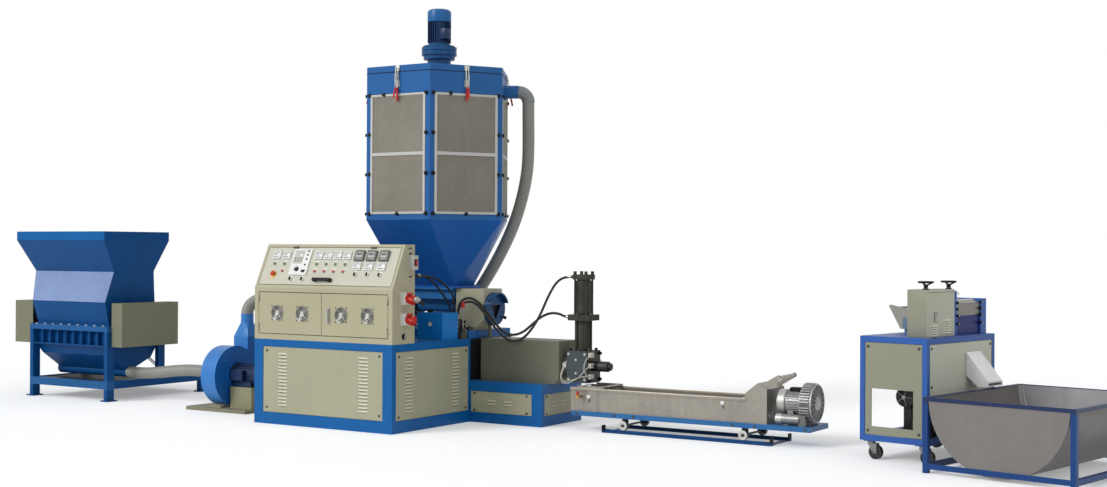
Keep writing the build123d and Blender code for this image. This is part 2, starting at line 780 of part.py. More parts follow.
# Hopper: rim, neck, bulge and lower taper as one shell
hopper_sections = [
    (crusher_top + 25, 1110, -433, 120),
    (crusher_top + 247, 1134, -495, 179),
    (crusher_top + 570, 1226, -418, 122),
    (crusher_top + 895, 1366, -612, 270),
    (crusher_top + 987, 1366, -612, 270),
]


def stacked_sections(sections, inset, mode=Mode.ADD):
    """Straight-sided lofts through rectangles given by height, length, front and rear."""
    for pair in zip(sections, sections[1:]):
        outlines = []
        for z, length, front, rear in pair:
            with BuildSketch(Plane.XY.offset(z)) as outline:
                with Locations((crusher_x, (front + rear) / 2)):
                    Rectangle(length - 2 * inset, rear - front - 2 * inset)
            outlines.append(outline.sketch)
        loft(outlines, ruled=True, mode=mode)


with BuildPart() as crusher_hopper:
    stacked_sections(hopper_sections, 0)
    stacked_sections(hopper_sections, sheet, Mode.SUBTRACT)

# Cutting chamber with its front ribs, bottom funnel and suction pipe
chamber_left = crusher_left + crusher_leg + 2
chamber_right = crusher_right - crusher_leg - 2
chamber_front = crusher_front + 65
chamber_rear = body_rear - 180
chamber_low = 575.0
chamber_wall = 20.0
funnel_rear = body_rear - 60
funnel_taper = 80.0
with BuildPart() as crusher_chamber:
    block(chamber_left, chamber_right, chamber_front, chamber_rear, chamber_low, crusher_top + 25)
    block(chamber_left, chamber_right, crusher_front + 4, funnel_rear, chamber_low - 12, chamber_low)
    with BuildSketch(Plane.YZ.offset(chamber_left)):
        with BuildLine():
            Polyline(
                (chamber_front, chamber_low - 12),
                (funnel_rear, chamber_low - 12),
                (funnel_rear - 90, chamber_low - 150),
                (rotor_y + suction_radius, suction_height + 30),
                (rotor_y - suction_radius, suction_height + 20),
                (chamber_front + 40, chamber_low - 110),
                close=True,
            )
        make_face()
    extrude(amount=chamber_right - chamber_left)
    # The funnel's left end slopes in to the pipe
    with BuildSketch(Plane.XZ.offset(-body_rear)):
        with BuildLine():
            Polyline(
                (chamber_left - 1, chamber_low - 60),
                (chamber_left + funnel_taper, suction_height + suction_radius),
                (chamber_left + funnel_taper, suction_height - suction_radius - 1),
                (chamber_left - 1, suction_height - suction_radius - 1),
                close=True,
            )
        make_face()
    extrude(amount=crusher_body_depth, mode=Mode.SUBTRACT)
    rod((chamber_left + funnel_taper - 24, rotor_y, suction_height), (crusher_right - 40, rotor_y, suction_height),
        suction_radius)
    # Struts from the funnel to the rear posts
    for x0, x1 in ((chamber_left + 40, crusher_left + 25), (chamber_right - 40, crusher_right - 25)):
        for drop in (0, 24):
            rod((x0, funnel_rear - 100, chamber_low - 135 - drop),
                (x1, body_rear - crusher_leg_depth - 5, chamber_low - 225 - drop), 6)
    # Ribs across the front of the screen basket
    rib_pitch = (chamber_right - chamber_left) / 9
    for i in range(8):
        x = chamber_left + rib_pitch * (i + 1)
        block(x - 6, x + 6, crusher_front + 20, chamber_front + 1, chamber_low, rail_low - 4)
    # Room for the rotor, open to the hopper and down the funnel
    block(chamber_left + chamber_wall, chamber_right - chamber_wall, chamber_front + chamber_wall,
          chamber_rear - chamber_wall, chamber_low - 40, crusher_top + 26, Mode.SUBTRACT)
    with BuildSketch(Plane.YZ.offset(chamber_left + funnel_taper + chamber_wall)):
        with BuildLine():
            Polyline(
                (chamber_front + chamber_wall, chamber_low - 39),
                (funnel_rear - 40, chamber_low - 39),
                (funnel_rear - 110, chamber_low - 140),
                (rotor_y + suction_radius - 14, suction_height + 55),
                (rotor_y - suction_radius + 14, suction_height + 45),
                (chamber_front + 60, chamber_low - 105),
                close=True,
            )
        make_face()
    extrude(amount=chamber_right - chamber_left - funnel_taper - 2 * chamber_wall, mode=Mode.SUBTRACT)

with BuildPart() as crusher_rotor:
    rotor_height = crusher_top - 55
    rod((chamber_left + chamber_wall, rotor_y, rotor_height), (chamber_right - chamber_wall, rotor_y, rotor_height),
        55)
    blade_pitch = (chamber_right - chamber_left - 2 * chamber_wall) / 9
    for i in range(8):
        x = chamber_left + chamber_wall + blade_pitch * (i + 1)
        tilt = 45 * (i % 4)
        blade = Plane(origin=(x - 14, rotor_y, rotor_height), z_dir=(1, 0, 0),
                      x_dir=(0, cos(radians(tilt)), sin(radians(tilt))))
        with BuildSketch(blade):
            Rectangle(2 * rotor_radius, 74)
        extrude(amount=28)

cover_pad = 12.0
with BuildPart() as crusher_covers:
    for x0, x1 in ((crusher_left - 300, crusher_left - cover_pad), (crusher_right + cover_pad, crusher_right + 169)):
        block(x0, x1, crusher_front + 45, body_rear + 28, 565, 1018)
        inner = crusher_left if x0 < crusher_x else crusher_right
        a, b = sorted((x0 if x0 > crusher_x else x1, inner))
        for y in (crusher_front + 52, body_rear - 80):
            block(a, b, y, y + 60, rail_low + 5, crusher_top - 5)

# Blower: scroll housing, outlet and elbow
blower_left = blower_x - blower_width / 2
blower_right = blower_x + blower_width / 2
outlet_y1 = blower_y + scroll_reach
outlet_y0 = outlet_y1 - duct_width
outlet_low = blower_height + 355.0
collar_low = outlet_low + 137.0
collar_top = collar_low + 87.0
collar_y = (outlet_y0 + outlet_y1) / 2
elbow_turn = 40.0
elbow_out = Vector(cos(radians(elbow_turn)), sin(radians(elbow_turn)), 0)
elbow_pivot = Vector(blower_x, collar_y, collar_top) + elbow_out * elbow_radius
elbow_end = elbow_pivot + Vector(0, 0, elbow_radius)
with BuildPart() as blower_housing:
    # Scroll: four arcs whose radius grows towards the outlet
    with BuildSketch(Plane.YZ.offset(blower_left)):
        with BuildLine():
            r = blower_radius
            k = sin(radians(45))
            reach = scroll_reach
            east = (blower_y + reach, blower_height)
            south = (blower_y, blower_height - reach + 22)
            west = (blower_y - r - 8, blower_height)
            north = (blower_y, blower_height + r - 8)
            ThreePointArc(east, (blower_y + (reach - 9) * k, blower_height - (reach - 9) * k), south)
            ThreePointArc(south, (blower_y - (r + 24) * k, blower_height - (r + 24) * k), west)
            ThreePointArc(west, (blower_y - r * k, blower_height + r * k), north)
            corner = (outlet_y0, blower_height + sqrt((r - 8) ** 2 - (outlet_y0 - blower_y) ** 2))
            ThreePointArc(north, (blower_y + 80, blower_height + sqrt((r - 8) ** 2 - 80 ** 2)), corner)
            Line(corner, (outlet_y0, outlet_low))
            Line((outlet_y0, outlet_low), (outlet_y1, outlet_low))
            Line((outlet_y1, outlet_low), east)
        make_face()
    extrude(amount=blower_width)
    rod((blower_left - 40, blower_y, blower_height), (blower_left, blower_y, blower_height), duct_collar + 14)
    rod((blower_right, blower_y, blower_height), (blower_right + 20, blower_y, blower_height), 130)
    # Square to round transition and collar
    with BuildSketch(Plane.XY.offset(outlet_low)):
        with Locations((blower_x, collar_y)):
            Rectangle(blower_width, duct_width)
    with BuildSketch(Plane.XY.offset(collar_low)):
        with Locations((blower_x, collar_y)):
            Circle(duct_collar)
    loft()
    rod((blower_x, collar_y, collar_low), (blower_x, collar_y, collar_top), duct_collar)
    # Elbow towards the silo
    with BuildSketch(Plane.XY.offset(collar_top)):
        with Locations((blower_x, collar_y)):
            Circle(duct_radius)
    revolve(axis=Axis(tuple(elbow_pivot), (-elbow_out.Y, elbow_out.X, 0)), revolution_arc=90)

motor_radius = 95.0
with BuildPart() as blower_motor:
    motor_left = blower_right + 20
    rod((motor_left, blower_y, blower_height), (motor_left + 26, blower_y, blower_height), 112)
    rod((motor_left + 26, blower_y, blower_height), (motor_left + 290, blower_y, blower_height), motor_radius)
    rod((motor_left + 290, blower_y, blower_height), (motor_left + 350, blower_y, blower_height),
        motor_radius + 8)
    block(motor_left + 50, motor_left + 190, blower_y - motor_radius - 45, blower_y - motor_radius + 30,
          blower_height - 50, blower_height + 50)
    block(motor_left + 40, motor_left + 260, blower_y - 90, blower_y + 90, blower_height - 118, blower_height - 60)

slab_height = 34.0
pedestal_top = blower_height - 118.0
with BuildPart() as blower_base:
    block(blower_left - 260, blower_right + 340, blower_y - 230, blower_y + 210, 0, slab_height)
    block(motor_left + 10, motor_left + 290, blower_y - 110, blower_y + 110, slab_height, pedestal_top)
    # Saddle that carries the scroll
    for y in (blower_y - 190, blower_y + 150):
        block(blower_left + 20, blower_right - 20, y, y + 40, slab_height, slab_height + 24)

# Cooling trough: rails on the floor
tank_right = trough_x + tank_length
tank_front = trough_y - tank_width / 2
tank_back = trough_y + tank_width / 2
rail_left = trough_x + rail_start
rail_right = rail_left + rail_length
rail_gauge = carriage_width - 20.0
wheel_center = rail_height + trolley_wheel_radius + contact_gap
carriage_floor = wheel_center + trolley_wheel_radius + 16
carriage_top = carriage_floor + carriage_beam
with BuildPart() as trough_rails:
    for side in (-1, 1):
        y = trough_y + side * rail_gauge / 2
        block(rail_left, rail_right, y - 24, y + 24, 0, 8)
        block(rail_left, rail_right, y - 6, y + 6, 8, rail_height)
        for x in (rail_left, rail_right - 14):
            block(x, x + 14, y - 24, y + 24, 8, rail_height + 34)
    for x in (rail_left + 14, rail_right - 64):
        block(x, x + 50, trough_y - rail_gauge / 2, trough_y + rail_gauge / 2, 0, 8)

wheel_spots = (trough_x + 545.0, trough_x + 1680.0)
with BuildPart() as carriage_frame:
    block(trough_x + 20, trough_x + carriage_length, trough_y - carriage_width / 2,
          trough_y + carriage_width / 2, carriage_floor, carriage_top)
    for x0, x1 in ((trough_x + 70, trough_x + 700), (trough_x + 750, trough_x + 1380),
                   (trough_x + 1430, trough_x + 1900)):
        block(x0, x1, trough_y - carriage_width / 2 + 40, trough_y + carriage_width / 2 - 40,
              carriage_floor - 1, carriage_top + 1, Mode.SUBTRACT)
    for x in wheel_spots:
        for side in (-1, 1):
            y = trough_y + side * (rail_gauge / 2 - trolley_wheel_width / 2 - moving_gap - 8)
            block(x - 28, x + 28, y - 6, y + 6, wheel_center - 18, carriage_floor)
            rod((x, y - 7, wheel_center), (x, y + 7, wheel_center), 9 + pin_gap, Mode.SUBTRACT)


def wheel_set(x):
    """Two flanged wheels on one axle, turned about Y."""
    for side in (-1, 1):
        y = trough_y + side * rail_gauge / 2
        half = trolley_wheel_width / 2
        rod((x, y - half, wheel_center), (x, y + half, wheel_center), trolley_wheel_radius)
        rod((x, y + side * half, wheel_center), (x, y + side * (half + 8), wheel_center), 20)
    rod((x, trough_y - rail_gauge / 2, wheel_center), (x, trough_y + rail_gauge / 2, wheel_center), 9)


with BuildPart() as wheel_set_left:
    wheel_set(wheel_spots[0])

with BuildPart() as wheel_set_right:
    wheel_set(wheel_spots[1])

tank_top = carriage_top + tank_height
roller_radius = 15.0
arm_front = trough_y - tank_width / 2 + 14
arm_back = trough_y + tank_width / 2 - 14
roller_x = tank_right + 285.0
roller_height = tank_top + 196.0
arm_low = tank_top + 32.0
with BuildPart() as cooling_tank:
    block(trough_x, tank_right, tank_front, tank_back, carriage_top, tank_top)
    block(trough_x - 6, tank_right, tank_front - 12, tank_back + 12, tank_top - 10, tank_top)
    block(trough_x + tank_wall, tank_right - tank_wall, tank_front + tank_wall, tank_back - tank_wall,
          carriage_top + tank_wall, tank_top + 1, Mode.SUBTRACT)
    # End box with its sloping top
    with BuildSketch(Plane.XZ.offset(-tank_back)):
        with BuildLine():
            Polyline(
                (tank_right, carriage_top),
                (tank_right, tank_top + 60),
                (tank_right + 110, tank_top + 145),
                (tank_right + end_box_length, tank_top + 96),
                (tank_right + end_box_length, carriage_top),
                close=True,
            )
        make_face()
    extrude(amount=tank_width)
    # Arms of the strand roller
    for y in (arm_front, arm_back):
        arm = Plane(origin=(tank_right + 10, y - 5, arm_low), z_dir=(0, 1, 0), x_dir=(1, 0, 0))
        start = arm.to_local_coords(Vector(tank_right + 10, y, arm_low))
        end = arm.to_local_coords(Vector(roller_x, y, roller_height))
        run = end - start
        with BuildSketch(arm):
            with Locations(Location((start.X + run.X / 2, start.Y + run.Y / 2, 0), degrees(atan2(run.Y, run.X)))):
                SlotOverall(run.length + 44, 40)
            with Locations((end.X, end.Y)):
                Circle(7 + pin_gap, mode=Mode.SUBTRACT)
        extrude(amount=10)
    # Guide bar over the strand inlet
    for y in (tank_front + 4, tank_back - 16):
        block(trough_x + 60, trough_x + 330, y, y + 12, tank_top, tank_top + 34)
    rod((trough_x + 300, tank_front + 16, tank_top + 20), (trough_x + 300, tank_back - 16, tank_top + 20), 12)
    # Drain tap
    rod((trough_x + 110, tank_front - 50, tank_top - 60), (trough_x + 110, tank_front, tank_top - 60), 12)

with BuildPart() as strand_roller:
    rod((roller_x, arm_front + 5 + moving_gap, roller_height), (roller_x, arm_back - 5 - moving_gap, roller_height),
        roller_radius)
    rod((roller_x, arm_front - 9, roller_height), (roller_x, arm_back + 9, roller_height), 7)

blower_axis_height = carriage_top + ring_blower_radius + 8
fan_x = trough_x + carriage_length - 118
with BuildPart() as ring_blower:
    rod((fan_x, trough_y, blower_axis_height), (fan_x + 92, trough_y, blower_axis_height), ring_blower_radius - 14)
    for angle in range(0, 360, 10):
        fin = Plane(origin=(fan_x + 8, trough_y, blower_axis_height), z_dir=(1, 0, 0),
                    x_dir=(0, cos(radians(angle)), sin(radians(angle))))
        with BuildSketch(fin):
            with Locations((ring_blower_radius - 14, 0)):
                Rectangle(28, 6)
        extrude(amount=76)
    rod((fan_x - 150, trough_y, blower_axis_height), (fan_x, trough_y, blower_axis_height), 92)
    rod((fan_x - 215, trough_y, blower_axis_height), (fan_x - 150, trough_y, blower_axis_height), 104)
    for x in (fan_x + 20, fan_x - 120):
        block(x, x + 50, trough_y - 100, trough_y + 100, carriage_top, blower_axis_height - 60)
    rod((fan_x - 200, trough_y - 128, carriage_top + 50), (fan_x + 10, trough_y - 128, carriage_top + 50), 42)
    block(fan_x + 2, fan_x + 60, trough_y - 160, trough_y - 60, carriage_top, carriage_top + 90)

# Pelletizer table: tube frame, top plate, floor plate and rear forks, in the station's own frame
table_left = -table_width
table_back = table_depth
swivel_inset = 66.0
wheel_gap = 2.0
fork_reach = caster_width / 2 + wheel_gap
caster_left_u = table_left + swivel_inset
caster_right_u = -swivel_inset
caster_front_v = swivel_inset
caster_rear_v = table_depth - swivel_inset
fork_top = table_floor - 10.0


def caster_fork(u, v):
    """A fork under a plate, its axle trailing towards +X."""
    axle_u = u + caster_trail
    rod((u, v, fork_top - 16), (u, v, fork_top), 30)
    block(u - 24, axle_u + 16, v - fork_reach - 5, v + fork_reach + 5, fork_top - 22, fork_top - 14)
    for side in (-1, 1):
        cheek = Plane(origin=(0, v + side * (fork_reach + 2.5) + 2.5, 0), z_dir=(0, -1, 0), x_dir=(1, 0, 0))
        with BuildSketch(cheek) as cheek_shape:
            with BuildLine():
                Polyline(
                    (u - 24, fork_top - 14),
                    (axle_u + 16, fork_top - 14),
                    (axle_u + 14, caster_radius - 10),
                    (axle_u - 14, caster_radius - 10),
                    close=True,
                )
            make_face()
        extrude(cheek_shape.sketch, amount=5)
    rod((axle_u, v - fork_reach - 9, caster_radius), (axle_u, v + fork_reach + 9, caster_radius), 6)


def caster_wheel(u, v):
    """A caster wheel on the fork's axle."""
    axle_u = u + caster_trail
    rod((axle_u, v - caster_width / 2, caster_radius), (axle_u, v + caster_width / 2, caster_radius),
        caster_radius)
    rod((axle_u, v - caster_width / 2 - 1, caster_radius), (axle_u, v + caster_width / 2 + 1, caster_radius),
        6 + pin_gap, Mode.SUBTRACT)


with BuildPart() as pelletizer_frame:
    for u in (table_left, -table_post):
        for v in (0, table_back - table_post):
            block(u, u + table_post, v, v + table_post, table_floor, table_height)
    for z in (table_floor, table_height - 46):
        for v in (0, table_back - table_post):
            block(table_left, 0, v, v + table_post, z, z + 46)
        for u in (table_left, -table_post):
            block(u, u + table_post, 0, table_back, z, z + 46)
    block(table_left, 0, 0, table_back, table_height - 10, table_height)
    block(table_left + 10, -10, 10, table_back - 10, table_floor, table_floor + 8)
    for u in (caster_left_u, caster_right_u):
        block(u - 45, u + 45, caster_front_v - 45, caster_front_v + 45, table_floor - 8, table_floor)
        block(u - 45, u + 45, caster_rear_v - 45, caster_rear_v + 45, fork_top - 1, table_floor)
        caster_fork(u, caster_rear_v)

with BuildPart() as caster_fork_left:
    caster_fork(caster_left_u, caster_front_v)

with BuildPart() as caster_fork_right:
    caster_fork(caster_right_u, caster_front_v)

with BuildPart() as caster_wheel_left:
    caster_wheel(caster_left_u, caster_front_v)

with BuildPart() as caster_wheel_right:
    caster_wheel(caster_right_u, caster_front_v)

with BuildPart() as rear_wheels:
    for u in (caster_left_u, caster_right_u):
        caster_wheel(u, caster_rear_v)

# Panels: a full front with the belt window, and upper panels on the other sides
window_low = table_floor + 112
window_high = table_floor + 402
upper_panel_low = 545.0
panel_top = table_height - 46 - panel_gap
panel_side = table_post + panel_gap
panel_sheet = 10.0
with BuildPart() as pelletizer_panels:
    block(table_left + panel_side, -panel_side, panel_sink, panel_sink + panel_sheet,
          table_floor + 46 + panel_gap, panel_top)
    block(table_left + 96, -118, 0, 40, window_low, window_high, Mode.SUBTRACT)
    for u in (table_left + panel_sink, -panel_sink - panel_sheet):
        block(u, u + panel_sheet, panel_side, table_back - panel_side, upper_panel_low, panel_top)
    block(table_left + panel_side, -panel_side, table_back - panel_sink - panel_sheet, table_back - panel_sink,
          upper_panel_low, panel_top)

head_front = 91.0
head_back = 520.0
head_left = -222.0
head_right = -56.0
head_top = table_height + 300
handwheel_u = -85.0
handwheel_spots = (128.0, 478.0)
with BuildPart() as head_box:
    block(head_left, head_right, head_front, head_back, table_height, head_top)
    fillet(head_box.edges().filter_by(Axis.Z), 6)
    for v in handwheel_spots:
        rod((handwheel_u, v, head_top), (handwheel_u, v, head_top + 22), 20)

chamber_u0 = -330.0
chamber_u1 = -70.0
chamber_v1 = table_depth - 8.0
chamber_height = 278.0
knife_left = head_back + 60.0
knife_right = chamber_v1 - 92.0
with BuildPart() as cutter_chamber:
    # Side plates, the one beside the head box taller, and the bed under the knives
    block(chamber_u0, chamber_u1, head_back + 4, knife_left, table_height, table_height + chamber_height + 68)
    block(chamber_u0, chamber_u1, knife_right, chamber_v1, table_height, table_height + chamber_height)
    block(chamber_u0 + 40, chamber_u1 - 14, knife_left, knife_right, table_height, table_height + 150)
    # Sheet hood over the knives
    with BuildSketch(Plane.XZ.offset(-knife_right)):
        with BuildLine():
            Polyline(
                (chamber_u0 + 60, table_height + 150),
                (chamber_u0 + 60, table_height + chamber_height - 24),
                (chamber_u1 - 60, table_height + chamber_height - 6),
                (chamber_u1 - 10, table_height + chamber_height - 30),
                (chamber_u1 - 10, table_height + 150),
                close=True,
            )
        make_face()
    extrude(amount=knife_right - knife_left)

with BuildPart() as feed_tray:
    tray_v0 = knife_left + 6
    tray_v1 = knife_right - 6
    tray_floor = table_height + 120
    for v in (tray_v0, tray_v1 - 6):
        with BuildSketch(Plane.XZ.offset(-(v + 6))):
            with BuildLine():
                Polyline(
                    (chamber_u0 + 36, table_height + 30),
                    (chamber_u0 - 235, table_height + 30),
                    (chamber_u0 - 340, table_height + 212),
                    (chamber_u0 - 322, table_height + 222),
                    (chamber_u0 + 36, table_height + 150),
                    close=True,
                )
            make_face()
        extrude(amount=6)
    block(chamber_u0 - 270, chamber_u0 + 36, tray_v0 + 6, tray_v1 - 6, tray_floor, tray_floor + 8)
    rod((chamber_u0 - 300, tray_v0 + 3, table_height + 196), (chamber_u0 - 300, tray_v1 - 3, table_height + 196), 9)
    block(chamber_u0 - 210, chamber_u0 + 36, tray_v0 + 20, tray_v1 - 20, table_height, tray_floor)

wheel_height = head_top + 118


def handwheel(v):
    """A three-spoke handwheel on its screw, its arms rising from the hub to the rim."""
    rod((handwheel_u, v, head_top + 22 + slide_gap), (handwheel_u, v, wheel_height - 18), 11)
    rod((handwheel_u, v, wheel_height - 42), (handwheel_u, v, wheel_height - 16), 17)
    with BuildSketch(Plane(origin=(handwheel_u + 52, v, wheel_height), z_dir=(0, 1, 0))) as rim:
        Circle(8)
    revolve(rim.sketch, axis=Axis((handwheel_u, v, wheel_height), (0, 0, 1)))
    for i in range(3):
        angle = radians(120 * i + 35)
        rod((handwheel_u, v, wheel_height - 28),
            (handwheel_u + 52 * cos(angle), v + 52 * sin(angle), wheel_height), 6)


with BuildPart() as handwheel_front:
    handwheel(handwheel_spots[0])

with BuildPart() as handwheel_back:
    handwheel(handwheel_spots[1])

# Discharge chute from the right panel over the bin
chute_v0 = 600.0
chute_v1 = 830.0
chute_tip = bin_gap + 52
with BuildPart() as discharge_chute:
    with BuildSketch(Plane.XZ.offset(-chute_v1)):
        with BuildLine():
            Polyline((0, 820), (0, 640), (96, 560), (chute_tip, bin_height + 14), (chute_tip, 600), close=True)
        make_face()
    extrude(amount=chute_v1 - chute_v0)
    with BuildSketch(Plane.XZ.offset(-(chute_v1 - 6))):
        with BuildLine():
            Polyline(
                (-1, 806),
                (-1, 652),
                (100, 568),
                (chute_tip + 1, bin_height + 22),
                (chute_tip + 1, 588),
                close=True,
            )
        make_face()
    extrude(amount=chute_v1 - chute_v0 - 12, mode=Mode.SUBTRACT)

with BuildPart() as pelletizer_motor:
    motor_u = -210.0
    motor_z = table_floor + 8 + 116
    rod((motor_u, 330, motor_z), (motor_u, 640, motor_z), 100)
    rod((motor_u, 250, motor_z), (motor_u, 296, motor_z), 62)
    rod((motor_u, 250, motor_z), (motor_u, 330, motor_z), 18)
    block(motor_u - 90, motor_u + 90, 370, 600, table_floor + 8, motor_z - 60)

# Collecting bin in the pelletizer's frame: half-round tank in an angle frame
bin_left = bin_gap
bin_right = bin_gap + bin_length
bin_front = -bin_lead
bin_back = bin_front + bin_depth
bin_middle = (bin_left + bin_right) / 2
tank_bend = bin_length / 2 - bin_angle - 4
bin_sheet = 8.0
with BuildPart() as bin_tank:
    with BuildSketch(Plane.XZ.offset(-(bin_back - 6))) as bin_section:
        with BuildLine():
            left_lip = (bin_middle - tank_bend, bin_height - 7)
            right_lip = (bin_middle + tank_bend, bin_height - 7)
            Line(left_lip, right_lip)
            ThreePointArc(right_lip, (bin_middle, bin_height - 7 - tank_bend), left_lip)
        make_face()
    extrude(amount=bin_depth - 12)
    with BuildSketch(Plane.XZ.offset(-(bin_back - 6 - bin_sheet))):
        with BuildLine():
            inner = tank_bend - bin_sheet
            Line((bin_middle - inner, bin_height - 6), (bin_middle + inner, bin_height - 6))
            ThreePointArc((bin_middle + inner, bin_height - 6), (bin_middle, bin_height - 6 - inner),
                          (bin_middle - inner, bin_height - 6))
        make_face()
    extrude(amount=bin_depth - 12 - 2 * bin_sheet, mode=Mode.SUBTRACT)

with BuildPart() as bin_frame:
    for u in (bin_left, bin_right - bin_angle):
        block(u, u + bin_angle, bin_front, bin_back, bin_height - bin_rim, bin_height)
        block(u, u + bin_angle, bin_front, bin_back, 30, 30 + bin_angle)
        for v in (bin_front, bin_back - bin_angle):
            block(u, u + bin_angle, v, v + bin_angle, 0, bin_height)
    for v in (bin_front, bin_back - 6):
        block(bin_left, bin_right, v, v + 6, bin_height - bin_rim, bin_height)
        block(bin_left, bin_right, v, v + 6, 30, 30 + bin_angle)

# Hoses and cables: straight runs joined by tangent arcs


def arc_radii(points):
    """Radius of each corner: 0.45 of the shorter run over the tangent of half the turn."""
    radii = []
    vectors = [Vector(*b) - Vector(*a) for a, b in zip(points, points[1:])]
    for before, after in zip(vectors, vectors[1:]):
        turn = radians(before.get_angle(after))
        radii.append(0.45 * min(before.length, after.length) / tan(turn / 2))
    return radii


def tube(points, radius, name):
    """A tube along a route, in the builder that is open."""
    radii = arc_radii(points)
    print(name, "radii", [round(r) for r in radii])
    with BuildLine() as route:
        FilletPolyline(*points, radius=radii)
    length = route.wires()[0].length
    with BuildSketch(Plane(origin=points[0], z_dir=Vector(*points[1]) - Vector(*points[0]))) as section:
        Circle(radius)
    sweep(section.sketch, path=route.wires()[0])
    print(name, "length", round(length), "volume by length", round(3.14159265 * radius * radius * length))


suction_points = [
    (crusher_right - 40, rotor_y, suction_height),
    (-3180, rotor_y, suction_height),
    (-3010, -176, 288),
    (-2780, -216, 312),
    (-2520, -256, 344),
    (-2270, -284, 364),
    (-2060, blower_y, blower_height),
    (blower_left - 40, blower_y, blower_height),
]
with BuildPart() as suction_hose:
    tube(suction_points, duct_radius, "suction_hose")

conveying_points = [
    tuple(spigot_end),
    (spigot_end.X, spigot_end.Y, 2840),
    (1006, 892, 2640),
    (985, 915, 2370),
    (912, 940, 2110),
    (805, 955, 1840),
    (682, 944, 1600),
    (555, 918, 1375),
    (405, 896, 1160),
    (215, 880, 1000),
    (-30, 868, 915),
    (-280, 866, 903),
    (-530, 840, 908),
    (-760, 760, 922),
    (-965, 610, 955),
    (-1170, 435, 1005),
    (-1360, 285, 1050),
    tuple(elbow_end + elbow_out * 160),
    tuple(elbow_end),
]
with BuildPart() as conveying_hose:
    tube(conveying_points, duct_radius, "conveying_hose")

upper_port = (die_x - cylinder_cap / 2 - port_reach, die_axis_y, tube_top + 22)
lower_port = (die_x - cylinder_plate_width / 2 - 26, die_axis_y, cylinder_base + 26)
hose_radius = 10.0
cable_radius = 7.0

upper_hose_points = [
    (712, 150, manifold_top),
    (712, 150, 1038),
    (758, 176, 1108),
    (850, 202, 1116),
    (957, 234, 1018),
    (1056, 262, 875),
    (1140, 284, 790),
    (1232, 300, 752),
    (1325, 325, 782),
    (1400, 354, 868),
    (1472, 386, 1000),
    (1535, 412, 1165),
    (1598, 448, 1296),
    (upper_port[0] - 88, upper_port[1], upper_port[2]),
    upper_port,
]
with BuildPart() as pressure_hose_upper:
    tube(upper_hose_points, hose_radius, "pressure_hose_upper")

lower_hose_points = [
    (692, 184, manifold_top),
    (692, 184, 1050),
    (728, 208, 1136),
    (820, 238, 1150),
    (925, 270, 1062),
    (1024, 298, 925),
    (1110, 316, 836),
    (1212, 332, 806),
    (1306, 360, 840),
    (1378, 396, 912),
    (1450, 432, 982),
    (1535, 458, 1020),
    (1622, 478, 1014),
    (lower_port[0] - 62, lower_port[1], lower_port[2]),
    lower_port,
]
with BuildPart() as pressure_hose_lower:
    tube(lower_hose_points, hose_radius, "pressure_hose_lower")

front_cable_points = [
    (556, cabinet_back, 1322),
    (556, -535, 1322),
    (566, -440, 1346),
    (590, -320, 1364),
    (606, -205, 1350),
    (620, -90, 1290),
    (632, 10, 1200),
    (645, 92, 1110),
    (652, 140, 1030),
    (652, 140, manifold_top),
]
with BuildPart() as cabinet_cable_front:
    tube(front_cable_points, cable_radius, "cabinet_cable_front")

back_cable_points = [
    (590, cabinet_back, 1308),
    (590, -535, 1308),
    (600, -430, 1330),
    (612, -310, 1348),
    (622, -190, 1350),
    (632, -70, 1328),
    (642, 50, 1272),
    (654, 146, 1190),
    (652, 180, 1100),
    (652, 180, manifold_top),
]
with BuildPart() as cabinet_cable_back:
    tube(back_cable_points, cable_radius, "cabinet_cable_back")

pieces = {
    "machine_base": machine_base,
    "base_panels": base_panels,
    "cabinet_shell": cabinet_shell,
    "console_lid": console_lid,
    "console_instruments": console_instruments,
    "cabinet_door_left": cabinet_door_left,
    "cabinet_door_right": cabinet_door_right,
    "hydraulic_tank": hydraulic_tank,
    "valve_manifold": valve_manifold,
    "valve_lever": valve_lever,
    "first_extruder": first_extruder,
    "first_stage_cover": first_stage_cover,
    "end_disc": end_disc,
    "second_stage_cover": second_stage_cover,
    "die_block": die_block,
    "screen_slide": screen_slide,
    "screen_cylinder": screen_cylinder,
    "silo_funnel": silo_funnel,
    "silo_frame": silo_frame,
    "mesh_panels": mesh_panels,
    "silo_lid": silo_lid,
    "lid_latches": lid_latches,
    "agitator_motor": agitator_motor,
    "crusher_frame": crusher_frame,
    "crusher_hopper": crusher_hopper,
    "crusher_chamber": crusher_chamber,
    "crusher_rotor": crusher_rotor,
    "crusher_covers": crusher_covers,
    "blower_housing": blower_housing,
    "blower_motor": blower_motor,
    "blower_base": blower_base,
    "suction_hose": suction_hose,
    "conveying_hose": conveying_hose,
    "pressure_hose_upper": pressure_hose_upper,
    "pressure_hose_lower": pressure_hose_lower,
    "cabinet_cable_front": cabinet_cable_front,
    "cabinet_cable_back": cabinet_cable_back,
    "trough_rails": trough_rails,
    "carriage_frame": carriage_frame,
    "wheel_set_left": wheel_set_left,
    "wheel_set_right": wheel_set_right,
    "cooling_tank": cooling_tank,
    "strand_roller": strand_roller,
    "ring_blower": ring_blower,
}
turned_pieces = {
    "pelletizer_frame": pelletizer_frame,
    "caster_fork_left": caster_fork_left,
    "caster_fork_right": caster_fork_right,
    "caster_wheel_left": caster_wheel_left,
    "caster_wheel_right": caster_wheel_right,
    "rear_wheels": rear_wheels,
    "pelletizer_panels": pelletizer_panels,
    "head_box": head_box,
    "cutter_chamber": cutter_chamber,
    "feed_tray": feed_tray,
    "handwheel_front": handwheel_front,
    "handwheel_back": handwheel_back,
    "discharge_chute": discharge_chute,
    "pelletizer_motor": pelletizer_motor,
    "bin_tank": bin_tank,
    "bin_frame": bin_frame,
}
for label, piece in pieces.items():
    write(piece, label)
for label, piece in turned_pieces.items():
    write(piece, label, pelletizer)
